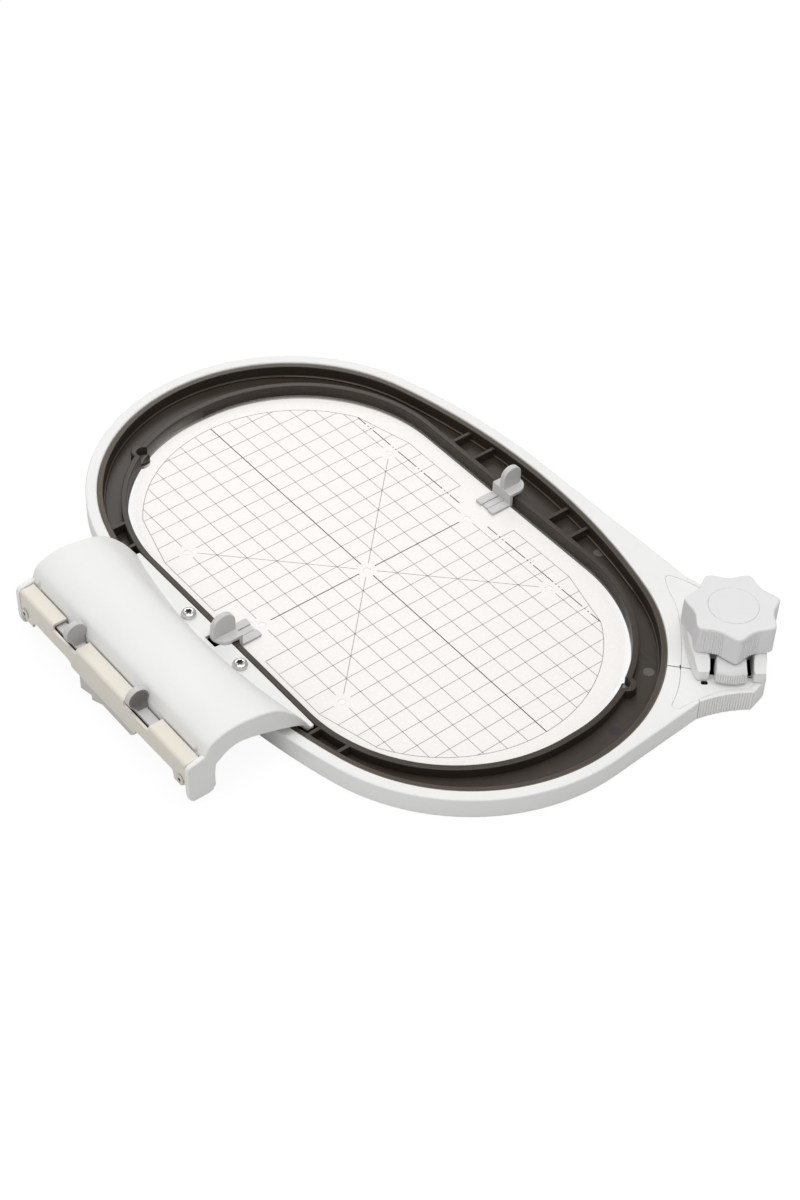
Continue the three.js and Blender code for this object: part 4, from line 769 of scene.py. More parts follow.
def second_finish(piece: Piece, finish: Finish, where: Array) -> None:
    """Gives the marked faces of a dressed piece one more finish."""
    piece.data.materials.append(material_of(finish))
    indices = np.zeros(len(where), np.int32)
    piece.data.polygons.foreach_get("material_index", indices)
    indices[where] = len(piece.data.materials) - 1
    piece.data.polygons.foreach_set("material_index", indices)


def span(node: str) -> tuple[Array, Array]:
    """Lowest and highest corner of a solid, in millimetres."""
    low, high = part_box(node)
    return np.array(low) / MM, np.array(high) / MM


# Hoop plan


@dataclass(frozen=True)
class Plan:
    """Plan of the hoop: a straight-sided window inside four-centre ovals."""

    window_half_length: float = 138.0
    window_half_width: float = 81.0
    window_straight: float = 3.0
    opening_half_length: float = 157.5
    opening_half_width: float = 100.8
    side_bulge: float = 9.3
    wall: float = 5.5
    lug_angles: Pair = (28.0, 30.6)
    lug_outset: float = 2.0
    lug_radius: float = 4.6

    @property
    def end_radius(self) -> float:
        """Radius of the opening's end arcs."""
        return self.opening_half_width - self.side_bulge

    @property
    def end_centre(self) -> float:
        """X of the +X end arc's centre."""
        return self.opening_half_length - self.end_radius

    @property
    def side_radius(self) -> float:
        """Radius of the long arcs, tangent to the end arcs."""
        half = self.opening_half_width
        return (self.end_centre ** 2 + half ** 2 - self.end_radius ** 2) / (2 * self.side_bulge)

    @property
    def side_centre(self) -> float:
        """How far the long arcs' centres lie beyond the middle."""
        return self.side_radius - self.opening_half_width

    @property
    def tangent(self) -> float:
        """Angle at which the end arcs meet the long arcs."""
        return math.atan2(self.side_centre, self.end_centre)

    @property
    def corner(self) -> float:
        """Corner radius of the window."""
        return self.window_half_width - self.window_straight

    @property
    def corner_x(self) -> float:
        """X of the window's corner centres."""
        return self.window_half_length - self.corner

    def oval(self, growth: float, count: int = 96) -> Array:
        """Opening grown outward, as four arcs."""
        t, e, s = self.tangent, self.end_radius + growth, self.side_radius + growth
        return np.concatenate([
            arc((self.end_centre, 0), e, -t, t, count),
            arc((0, -self.side_centre), s, t, math.pi - t, count),
            arc((-self.end_centre, 0), e, math.pi - t, math.pi + t, count),
            arc((0, self.side_centre), s, math.pi + t, TURN - t, count)])

    def window(self, growth: float, count: int = 64) -> Array:
        """Window grown outward, as four corner arcs."""
        x, y, quarter = self.corner_x, self.window_straight, math.pi / 2
        return np.concatenate([
            arc(corner, self.corner + growth, i * quarter, (i + 1) * quarter, count)
            for i, corner in enumerate([(x, y), (-x, y), (-x, -y), (x, -y)])])

    def lugs(self, outset: float) -> list[Pair]:
        """Places of the two locating lugs, at a distance outside the window's edge."""
        reach, places = self.corner + outset, []
        for sign, angle in zip((1, -1), self.lug_angles):
            turn = math.radians(angle)
            places.append((sign * (self.corner_x + reach * math.cos(turn)),
                           sign * (self.window_straight + reach * math.sin(turn))))
        return places


PLAN = Plan()


# Outer hoop


@dataclass
class TwistClamp:
    """Clamp on the split ring: head outline, covers, pads, fork, pull block and knob, in the clamp's own frame.

    +U points outward on the radial line through the knob's axle, +V along the ring; the axle is the origin.
    """

    angle: float = 50.1
    axle_out: float = 20.9
    split_angle: float = 41.4
    split_gap: float = 0.6
    neck_near: Pair = (-14.4, -35.6)
    neck_far: Pair = (-14.7, 43.9)
    corner_u: float = 9.8
    head_half_width: float = 28.8
    front_half: float = 19.8
    front_round: float = 2.4
    head_out: float = 16.3
    flare_hollow: float = 2.8
    cover_inset: float = 2.8
    cover_gap: float = 0.13
    cover_depth: float = 2.0
    cover_edge: float = 0.22
    cover_turn: int = 9
    cover_inner: tuple[Pair, ...] = (
        (-23.9, 34.6), (-21.9, 27.7), (-20.5, 20.8), (-19.9, 10.5), (-20.2, -0.8), (-21.0, -11.9), (-22.3, -22.9),
        (-24.0, -30.5))
    apex_near: Pair = (-24.4, -37.9)
    apex_far: Pair = (-22.8, 42.0)
    apex_near_sweep: Pair = (165.0, 310.0)
    apex_far_sweep: Pair = (68.0, 187.0)
    apex_radius: float = 2.2
    vent: Four = (-13.2, -24.9, -10.1, -22.7)
    slots: tuple[Four, ...] = ((-9.6, -18.65, -6.0, -6.0), (5.5, -18.65, 9.6, -6.0))
    tick: Four = (-21.85, -15.9, -21.2, -13.4)
    opening_round: float = 0.9
    # How far the painted shade reaches beyond each opening's box.
    shade_margin: float = 0.4
    pad_depth: float = 2.0
    pad_gap: float = 0.04
    pad_end_gap: float = 0.25
    pad_edge: float = 0.06
    pad_ribs: int = 20
    pad_rib_depth: float = 0.6
    rib_points: int = 14
    fork_half_width: float = 14.8
    fork_arm: float = 5.1
    fork_flare: float = 4.8
    fork_flare_out: float = 1.5
    fork_edge: float = 1.1
    fork_round: float = 1.2
    fork_front: float = -22.8
    fork_back: float = 17.0
    fork_back_wall: float = 5.0
    fork_nose: float = 5.6
    fork_slope_run: float = 6.5
    fork_web: float = 3.6
    fork_web_front: float = -9.0
    fork_hole: float = 2.9
    block_half_width: float = 6.85
    block_shift: float = -0.3
    block_front: float = -23.8
    block_back: float = -16.4
    block_crown: float = 1.5
    block_ribs: int = 13
    block_rib_depth: float = 0.5
    block_side: tuple[Triple, ...] = (
        (0.0, 1.7, 0.0), (0.95, 1.6, 0.0), (1.15, 0.3, 0.6), (1.35, 0.0, 1.0), (6.2, 0.0, 1.0), (6.6, 0.08, 0.6),
        (7.0, 0.3, 0.0), (7.5, 0.85, 0.0), (8.0, 1.7, 0.0), (8.45, 2.8, 0.0), (8.8, 4.2, 0.0), (9.0, 6.2, 0.0))
    tongue_inset: float = 1.2
    yoke_depth: float = 5.0
    yoke_radius: float = 9.0
    yoke_bore: float = 6.0
    centre: Array = field(init=False)

    def __post_init__(self) -> None:
        """Takes the axle's place and the levels from the solids."""
        low, high = span("knob_cap")
        self.centre = (low[:2] + high[:2]) / 2
        self.ring_low, self.ring_high = (corner[2] for corner in span("outer_ring"))
        self.fork_low, self.fork_high = (corner[2] for corner in span("clamp_fork"))
        self.yoke_high = span("pull_block")[1][2]

    @property
    def axes(self) -> Array:
        """Directions of +U and +V in the hoop's frame, one per row."""
        c, s = math.cos(math.radians(self.angle)), math.sin(math.radians(self.angle))
        return np.array([[c, s], [-s, c]])

    def in_hoop(self, uv: Array) -> Array:
        """Clamp points in the hoop's frame: turned by the clamp's angle and moved to the axle."""
        return uv @ self.axes + self.centre

    def seated(self, form: Form) -> Form:
        """Form moved from the clamp's frame to the hoop's."""
        return form.turned(self.angle).moved(*self.centre, 0.0)

    def make(self, node: str, finish: Finish, body: Body, form: Form, add: Iterable[Form] = (),
             cut: Iterable[Form] = (), crease: float = 32.0) -> Piece:
        """Piece whose forms are given in the clamp's frame; the arguments are those of the function make."""
        return make(node, finish, body, self.seated(form), map(self.seated, add), map(self.seated, cut), crease)

    def flank(self, neck: Pair, side: int, draw: float, count: int) -> Array:
        """Hollow side of the head, as a quadratic curve.

        Args:
            neck: Where it leaves the ring.
            side: -1 for the near side, 1 for the far one.
            draw: How far it is drawn in.
            count: Points along it.

        Returns:
            Points from the neck to the head's corner.
        """
        start = np.array([neck[0], neck[1] - side * draw])
        end = np.array([self.corner_u - draw / 2, side * (self.head_half_width - draw)])
        pull = (start + end) / 2 - np.array([0.0, side * self.flare_hollow])
        return bezier(start, pull, end, count)

    def head(self, draw: float, count: int = 24) -> Array:
        """Outline of the head, drawn in, from the near neck round to the far one."""
        near = self.flank(self.neck_near, -1, draw, count)
        far = self.flank(self.neck_far, 1, draw, count)[::-1]
        out, half = self.head_out - draw, self.front_half - draw / 2
        corners = np.array([near[-1], [out, -half], [out, half], far[0]])
        return np.concatenate([near[:-1], filleted(corners, self.front_round, 6, closed=False), far[1:]])

    def cover_outline(self) -> Array:
        """Outline of the inlaid covers, with rounded points towards the ring."""
        near = arc(self.apex_near, self.apex_radius, *np.radians(self.apex_near_sweep), 12)
        far = arc(self.apex_far, self.apex_radius, *np.radians(self.apex_far_sweep), 12)
        inner = flowing(np.array([far[-1], *self.cover_inner, near[0]]), 90)[1:-1]
        head, keep = self.head(self.cover_inset), self.cover_turn
        near_turn = bezier(near[-1], head[0], head[keep], 10)[1:]
        far_turn = bezier(head[-1 - keep], head[-1], far[0], 10)[:-1]
        return np.concatenate([near, near_turn, head[keep + 1:-1 - keep], far_turn, far, inner])

    def split_strip(self, low: float, high: float) -> Array:
        """Strip along the radial split, between two distances from its middle."""
        turn = math.radians(self.split_angle - self.angle)
        along = np.array([math.cos(turn), math.sin(turn)])
        across = np.array([-along[1], along[0]])
        axle = PLAN.end_radius + PLAN.wall + self.axle_out
        start, reach = PLAN.end_radius - 4 * PLAN.wall, axle + 2 * self.head_out
        corners = rectangle((start, low), (reach, high)) @ np.stack([along, across])
        return corners - np.array([axle, 0.0])

    def pad_pocket(self, neck: Pair, side: int) -> Array:
        """Pocket for a grip pad, open to the outside and a little longer than the pad."""
        curves = []
        for draw in (-OVERCUT, self.pad_depth + self.pad_gap):
            curve = self.flank(neck, side, draw, 16)
            ends = curve[[0, -1]] + self.pad_end_gap * unit(curve[[0, -1]] - curve[[1, -2]])
            curves.append(np.concatenate([ends[:1], curve, ends[1:]]))
        outline = np.concatenate([curves[0], curves[1][::-1]])
        return outline[::-1] if side > 0 else outline

    def openings(self, growth: float) -> list[Array]:
        """Outlines of the vent and of the slots beside the pull block, grown outward."""
        return [filleted(inset(rectangle(box[:2], box[2:]), -growth), self.opening_round)
                for box in (self.vent, *self.slots)]

    def shade_openings(self, piece: Piece) -> None:
        """Paints shade inside the vent, the slots and the tick: faces there below the ring's top get the dark
        painted-shade colour.
        """
        centres = face_values(piece, "center")
        uv = (centres[:, :2] - self.centre) @ self.axes.T
        within = np.zeros(len(uv), bool)
        for box in (self.vent, *self.slots, self.tick):
            low, high = np.array(box[:2]) - self.shade_margin, np.array(box[2:]) + self.shade_margin
            within |= np.all((uv > low) & (uv < high), axis=1)
        second_finish(piece, SHADE_AND_DARK_MARK, within & (centres[:, 2] < self.ring_high - 0.2))

    def build_cover(self, near: bool) -> Piece:
        """Inlaid cover on one side of the split."""
        low, high = self.ring_high - 2 * self.cover_depth, self.ring_high + OVERCUT
        plate = prism(self.cover_outline(), self.ring_high - self.cover_depth, self.ring_high, self.cover_edge, steps=3)
        gap, reach = self.split_gap / 2, 4 * self.head_half_width
        other = self.split_strip(-gap, reach) if near else self.split_strip(-reach, gap)
        cuts = [prism(outline, low, high) for outline in (other, *self.openings(0.0))]
        node = "clamp_cover_near" if near else "clamp_cover_far"
        cover = self.make(node, WHITE, Body.OUTER, plate, cut=cuts, crease=20.0)
        # Painted shade inside the cover's openings.
        self.shade_openings(cover)
        return cover

    def build_pad(self, near: bool) -> Piece:
        """Ribbed grip pad on one flank: the outside waves in and out along the flank."""
        node, neck, side = ("grip_pad_near", self.neck_near, -1) if near else ("grip_pad_far", self.neck_far, 1)
        count = self.pad_ribs * self.rib_points + 1
        groove = self.pad_rib_depth * (1 - rib_wave(np.linspace(0, 1, count), self.pad_ribs))
        outside = self.flank(neck, side, 0.0, count) - np.stack([np.zeros(count), side * groove], axis=1)
        outline = np.concatenate([outside, self.flank(neck, side, self.pad_depth, 20)[::-1]])
        outline = outline[::-1] if side > 0 else outline
        return self.make(node, WHITE, Body.OUTER, prism(outline, self.ring_low, self.ring_high, self.pad_edge, steps=2))

    def build_fork(self) -> Piece:
        """Fork whose two arms slope down towards the pull block."""
        inside, flared = self.fork_half_width - self.fork_arm, self.fork_half_width + self.fork_flare
        half, front, back = self.fork_half_width, self.fork_front, self.fork_back
        wide, wall = half + self.fork_flare_out, back - self.fork_back_wall
        low, high = self.fork_low, self.fork_high
        outline = filleted(np.concatenate([
            bezier((-flared, back), (-flared, front / 2), (-half, front), 16),
            [[-inside, front], [-inside, wall], [inside, wall], [inside, front]],
            bezier((half, front), (wide, front / 2), (wide, back), 16)]), self.fork_round, 3)
        body = prism(outline, low, high, self.fork_edge, base_radius=0.3)
        web = block((-inside - OVERCUT, self.fork_web_front, low + 0.05),
                    (inside + OVERCUT, back - 1.0, low + self.fork_web))
        run = self.fork_slope_run
        rise = (high - (low + self.fork_nose)) * (run + OVERCUT) / run
        slope = np.array([[front - OVERCUT, high - rise], [front + run, high], [front + run, high + OVERCUT],
                          [front - OVERCUT, high + OVERCUT]])
        cut = prism(slope, -flared - OVERCUT, flared + OVERCUT).along(Axis.X)
        hole = rod(0, 0, self.fork_hole, low - OVERCUT, low + self.fork_web + OVERCUT)
        return self.make("clamp_fork", WHITE, Body.OUTER, body, [web], [cut, hole])

    def block_row(self, rise: float, setback: float, rib: float) -> Array:
        """Pull block's plan at a height.

        The front bulges as 1 - (2t - 1)^2 along its width, with a row of ribs on it.

        Args:
            rise: Height above the fork's base.
            setback: How far the front is set back.
            rib: Share of the ribs' depth.

        Returns:
            Points of the closed row.
        """
        half = self.block_half_width - min(setback, 0.8) / 2
        t = np.linspace(0.0, 1.0, self.block_ribs * self.rib_points + 1)
        wave = rib * self.block_rib_depth * rib_wave(t, self.block_ribs)
        front = self.block_front + setback - self.block_crown * (1 - (2 * t - 1) ** 2) - wave
        curve = np.stack([half * (2 * t - 1), front], axis=1)
        outline = np.concatenate([curve, [[half, self.block_back], [-half, self.block_back]]])
        return at_height(outline + [self.block_shift, 0.0], self.fork_low + rise)

    def build_pull_block(self) -> Piece:
        """Pull block with its ribbed band, rounded head, tongue and the eye round the cam."""
        top, low = self.yoke_high, self.yoke_high - self.yoke_depth
        half = self.block_half_width - self.tongue_inset
        body = loft([self.block_row(*row) for row in self.block_side], [0, 1])
        tongue = block((-half, self.block_back - OVERCUT, low), (half, 0.0, top - 0.05))
        eye = rod(0, 0, self.yoke_radius, low + 0.03, top - 0.03, 64)
        bore = rod(0, 0, self.yoke_bore, low - OVERCUT, top + OVERCUT, 64)
        return self.make("pull_block", GREY_WHITE, Body.OUTER, body, [tongue, eye], [bore], 40.0)


@dataclass
class OuterRing:
    """Split ring with the clamp's head."""

    clamp: TwistClamp
    edge: float = 0.8
    opening_floor: float = 2.0
    opening_growth: float = 0.2
    tick_depth: float = 1.5

    def outline(self) -> Array:
        """Outside of ring and head: the oval's arcs, then straight tangents and the head."""
        head = self.clamp.in_hoop(self.clamp.head(0.0))
        end, side = np.array([PLAN.end_centre, 0.0]), np.array([0.0, -PLAN.side_centre])
        t, e, s = PLAN.tangent, PLAN.end_radius + PLAN.wall, PLAN.side_radius + PLAN.wall
        return np.concatenate([
            arc(side, s, self.touch(head[-1], side, s, 1), math.pi - t, 72),
            arc(-end, e, math.pi - t, math.pi + t, 110),
            arc(-side, s, math.pi + t, TURN - t, 110),
            arc(end, e, -t, self.touch(head[0], end, e, -1), 90),
            head])

    @staticmethod
    def touch(point: Array, centre: Array, radius: float, side: int) -> float:
        """Angle on a circle where a line from an outside point touches it."""
        away = point - centre
        return math.atan2(away[1], away[0]) + side * math.acos(radius / np.linalg.norm(away))

    def build(self) -> Piece:
        """Ring with rounded edges, its cover recess, pad pockets and split."""
        clamp = self.clamp
        low, high = clamp.ring_low, clamp.ring_high
        over, gap = high + OVERCUT, clamp.split_gap / 2
        body = prism(self.outline(), low, high, self.edge, [PLAN.oval(0.0)])
        recess = inset(clamp.cover_outline(), -clamp.cover_gap)
        through = [clamp.pad_pocket(clamp.neck_near, -1), clamp.pad_pocket(clamp.neck_far, 1),
                   clamp.split_strip(-gap, gap)]
        cuts = [prism(recess, high - clamp.cover_depth - CLEARANCE, over),
                prism(rectangle(clamp.tick[:2], clamp.tick[2:]), high - self.tick_depth, over),
                *(prism(outline, low + self.opening_floor, high) for outline in clamp.openings(self.opening_growth)),
                *(prism(outline, low - OVERCUT, over) for outline in through)]
        ring = make("outer_ring", WHITE, Body.OUTER, body, cut=map(clamp.seated, cuts))
        # Painted shade inside the ring's openings and the tick.
        clamp.shade_openings(ring)
        return ring


@dataclass
class TwistKnob:
    """Lobed knob with groups of fine ribs, its cam below and a cap on top."""

    clamp: TwistClamp
    lobes: int = 7
    lobe_points: int = 110
    lobe_radius: float = 21.7
    hollow_radius: float = 18.1
    tip_round: float = 0.2
    phase: float = -36.0
    edge: float = 1.0
    base_edge: float = 0.6
    ribs: int = 8
    rib_depth: float = 0.55
    rib_from: float = 0.0965
    rib_to: float = 0.6325
    cap_gap: float = 0.06
    cap_edge: float = 0.15
    cam_radius: float = 4.9
    cam_throw: float = 0.8
    bore: float = 3.0
    well: float = 6.3
    well_depth: float = 5.0
    cap_radius: float = 11.2
    cap_depth: float = 2.2

    def rim(self, draw: float, rib: float, z: float) -> Array:
        """Row of the lobed side at a height.

        The radius falls from a lobe's rounded tip to the hollow as the square of what is left of the way, and a
        wave of ribs is cut into part of each lobe's flank.

        Args:
            draw: How far the row is drawn in.
            rib: Share of the ribs' depth.
            z: Height.

        Returns:
            Points of the closed row.
        """
        count = self.lobes * self.lobe_points
        share = np.arange(count) * self.lobes / count % 1.0
        away = np.hypot(2 * np.minimum(share, 1 - share), self.tip_round) - self.tip_round
        lobe = (1 - away / (math.hypot(1.0, self.tip_round) - self.tip_round)) ** 2
        place = (share - self.rib_from) / (self.rib_to - self.rib_from)
        groove = np.where((place > 0) & (place < 1), 1 - rib_wave(place, self.ribs), 0.0)
        radius = self.hollow_radius + (self.lobe_radius - self.hollow_radius) * lobe
        return self.ring(radius - draw - rib * self.rib_depth * groove, z)

    def ring(self, radius: Union[float, Array], z: float) -> Array:
        """Row of points round the axle at a radius and height."""
        turn = math.radians(self.phase) + once_round(self.lobes * self.lobe_points)
        return np.stack([radius * np.cos(turn), radius * np.sin(turn), np.full(len(turn), z)], axis=1)

    def build(self) -> list[Piece]:
        """Knob and cap."""
        low, high = self.clamp.fork_high + SLIDE, span("knob")[1][2]
        seat = high - self.cap_depth - CLEARANCE
        floor, rim, edge = seat - self.well_depth, self.cap_radius + self.cap_gap, self.edge
        base_round = np.stack(quarter_round(self.base_edge * edge, 5), axis=1)
        top_round = np.stack(quarter_round(edge, 5), axis=1)
        rows = [self.ring(self.bore, low), self.rim(self.base_edge * edge, 0.0, low)]
        rows += [self.rim(draw, 1.0, low + rise) for draw, rise in base_round[1:]]
        rows += [self.rim(0.0, 1.0, high - 2.6 * edge), self.rim(0.0, 0.35, high - 1.7 * edge)]
        rows += [self.rim(draw, 0.0, high - rise) for draw, rise in top_round[::-1]]
        rows += [self.ring(radius, z) for radius, z in (
            (rim + self.cap_edge, high), (rim, high - self.cap_edge), (rim, seat), (self.well, seat),
            (self.well, floor), (self.bore, floor))]
        cam_low = self.clamp.yoke_high - self.clamp.yoke_depth
        cam = rod(0.0, self.cam_throw, self.cam_radius, cam_low, low + OVERCUT, 64)
        hole = rod(0.0, 0.0, self.bore, cam_low - OVERCUT, floor + OVERCUT, 64)
        knob = self.clamp.make("knob", GREY_WHITE, Body.KNOB, loft(rows, wrap=True), [cam], [hole], 40.0)
        radius, low = self.cap_radius, high - self.cap_depth
        profile = np.array([[0.05, low], [radius, low], [radius, high], [0.05, high]])
        cap = lathe(filleted(profile, self.cap_edge, 3, False), 96)
        return [knob, self.clamp.make("knob_cap", GREY_WHITE, Body.KNOB, cap)]


# Inner hoop


@dataclass
class InnerRing:
    """Dark ring: a channel between an outer rim and the window's rim, with ribs, bosses and lugs."""

    fabric_gap: float = 0.15
    outer_rim: float = 2.75
    inner_rim: float = 3.0
    floor: float = 2.2
    rim_top: float = 7.2
    rim_band: float = 1.4
    edge: float = 0.5
    rib: float = 1.8
    rib_root: float = 0.8
    rib_edge: float = 0.25
    far_ribs: tuple[float, ...] = (27.5, 43.5)
    near_ribs: tuple[float, ...] = (-89.7, -74.2, 70.5, 86.0)
    seat_ribs: tuple[float, ...] = (8.0, 42.0, 62.0)
    seat: float = 5.3
    boss_radius: float = 4.0
    boss_x: float = 20.0
    boss_y: float = -89.3
    lug_hole: float = 3.5
    lug_hole_outset: float = 0.2
    ledge: float = 2.6
    ledge_reach: Pair = (1.1, 3.0)
    step_height: float = 1.0
    step_width: float = 0.9
    # X below and Y above which the far step's edge gets a painted highlight line.
    step_highlight: Pair = (85.0, 50.0)
    sheen_angles: Pair = (24.5, -168.0)
    sheen_spread: float = 8.0
    marks: tuple[Pair, ...] = ((128.0, 56.7), (56.4, 91.2))
    dark_marks: tuple[Pair, ...] = ((145.0, 20.7),)
    mark_radius: float = 2.6
    mark_rise: float = 0.06
    count: int = 640
    fine: int = 400

    def __post_init__(self) -> None:
        """Takes the levels from the solid."""
        self.low, self.high = (corner[2] for corner in span("inner_ring"))

    def rows(self) -> list[Array]:
        """Rows of the ring's surface, carried round the hoop.

        The outer rim's corners are offsets of the oval, the window rim's corners are offsets of the window, and
        points on one bearing from the middle make a row's step.
        """
        bearings = np.linspace(-np.pi, np.pi, self.count, endpoint=False)
        out, step = -self.fabric_gap, self.floor + self.step_height
        wall = out - self.outer_rim
        foot = wall - self.step_width
        outside = [[out, self.low], [out, self.high - self.rim_band], [out, self.high], [wall, self.high],
                   [wall, step], [foot, step], [foot, self.floor]]
        inside = [[self.inner_rim, self.floor], [self.inner_rim, self.rim_top], [0.0, self.rim_top], [0.0, self.low]]
        return [at_height(at_bearings(outline(growth, self.fine), bearings), z)
                for outline, corners in ((PLAN.oval, outside), (PLAN.window, inside))
                for growth, z in filleted(np.array(corners), self.edge, 4, closed=False)]

    def standing(self) -> list[Form]:
        """Ribs across the channel, seats and bosses under the arm, and the lugs."""
        low, top, root = self.floor - OVERCUT, self.rim_top - 0.06, self.rib_root
        out = PLAN.opening_half_width - self.fabric_gap - self.outer_rim + root
        rim = PLAN.window_half_width + self.inner_rim - root
        forms = []
        for side in SIDES:
            forms += [self.strip(side * x, rim, self.reach(x) + root, low, top) for x in self.far_ribs]
            forms += [self.strip(side * x, -min(out, self.reach(x) + root), -rim, low, self.seat)
                      for x in self.seat_ribs]
            forms.append(rod(side * self.boss_x, self.boss_y, self.boss_radius, low, self.seat + 0.02))
        forms += [self.strip(x, -self.reach(x) - root, -self.window_edge(x), low, top) for x in self.near_ribs]
        forms += [prism(circle(place, PLAN.lug_radius, 40), self.low + 0.04, self.rim_top - 0.04, self.edge)
                  for place in PLAN.lugs(PLAN.lug_outset)]
        return forms

    def strip(self, x: float, y0: float, y1: float, low: float, high: float) -> Form:
        """Rib across the channel."""
        return block((x - self.rib / 2, y0, low), (x + self.rib / 2, y1, high), self.rib_edge)

    def reach(self, x: float) -> float:
        """Half width of the channel's outer wall at an X: the long arc's height there."""
        radius = PLAN.side_radius - self.fabric_gap - self.outer_rim
        return math.sqrt(radius ** 2 - x ** 2) - PLAN.side_centre

    def window_edge(self, x: float) -> float:
        """Half width of the window's rim, near its outside, at an X."""
        radius = PLAN.corner + self.inner_rim - self.rib_root
        return PLAN.window_straight + math.sqrt(radius ** 2 - max(abs(x) - PLAN.corner_x, 0.0) ** 2)

    def build(self) -> Piece:
        """The ring with its standing parts joined and the lugs hollowed above their ledge."""
        places, over = PLAN.lugs(self.lug_hole_outset), self.rim_top + OVERCUT
        cuts = [rod(x, y, self.lug_hole, self.ledge, over, 48) for x, y in places]
        for place, reach in zip(places, self.ledge_reach):
            wall = PLAN.window(-0.02)
            near = np.linalg.norm(wall - place, axis=1) < 6 * PLAN.lug_radius
            cuts.append(prism(wall[near], self.ledge, over))
            cuts.append(prism(PLAN.window(-reach)[near], self.low - OVERCUT, self.ledge + OVERCUT))
        ring = make("inner_ring", DARK, Body.INNER, loft(self.rows(), wrap=True), self.standing(), cuts)
        self.tint(ring)
        return ring

    def tint(self, ring: Piece) -> None:
        """Writes two shares per corner point of the mesh.

        The first is 1 on the rim's outermost edge, a worn edge painted lighter as if lit, and 0.9 on the edge of the
        step along the far wall, a painted highlight line. The second, the sheen, is a painted reflection that grows
        down the window's wall, inside two stretches of bearing where the wall mirrors the plate.
        """
        points = np.empty(3 * len(ring.data.vertices))
        ring.data.vertices.foreach_get("co", points)
        x, y, z = points.reshape(-1, 3).T / MM
        bearing, away = np.arctan2(y, x), np.hypot(x, y)
        out, inside = (away - np.linalg.norm(at_bearings(outline, bearing), axis=1) for outline in (
            PLAN.oval(-self.fabric_gap, self.fine), PLAN.window(0.0, self.fine)))
        # Worn outer rim edge painted lighter as if lit, and a painted highlight line on the far step's edge.
        edge = (z > self.high - 0.6) & (out > -0.35)
        rim = (z > self.high - 0.1) & (out > -self.outer_rim)
        step = (np.abs(z - self.floor - self.step_height) < 0.2) & \
            (np.abs(out + self.outer_rim + self.step_width) < 0.25) & \
            (x < self.step_highlight[0]) & (y > self.step_highlight[1])
        rubbed_and_painted_light = np.where(edge, 1.0, np.where(step, 0.9, np.where(rim, 0.2, 0.0)))
        stretch = sum(np.exp(-((np.degrees(bearing) - angle) / self.sheen_spread) ** 2) for angle in self.sheen_angles)
        sheen = 1.5 * stretch * np.clip((self.rim_top - 0.4 - z) / 6.0, 0.0, 1.0) * (np.abs(inside) < 0.1)
        for name, values in (("rubbed_and_painted_light", rubbed_and_painted_light), ("sheen", np.clip(sheen, 0.0, 1.0))):
            ring.data.attributes.new(name, "FLOAT", "POINT").data.foreach_set("value", values.astype(np.float32))

    def build_marks(self) -> list[Piece]:
        """Round moulding marks, light and dark, that stand a hair above the channel's floor."""
        pieces = []
        for name, places, finish in (("moulding_marks", self.marks, MARK_AND_RECESS_SHADE),
                                     ("moulding_marks_dark", self.dark_marks, SHADE_AND_DARK_MARK)):
            discs = [rod(x, y, self.mark_radius, self.floor - 0.2, self.floor + self.mark_rise, 32) for x, y in places]
            pieces.append(make(name, finish, Body.INNER, functools.reduce(Form.__add__, discs), solid=False))
        return pieces


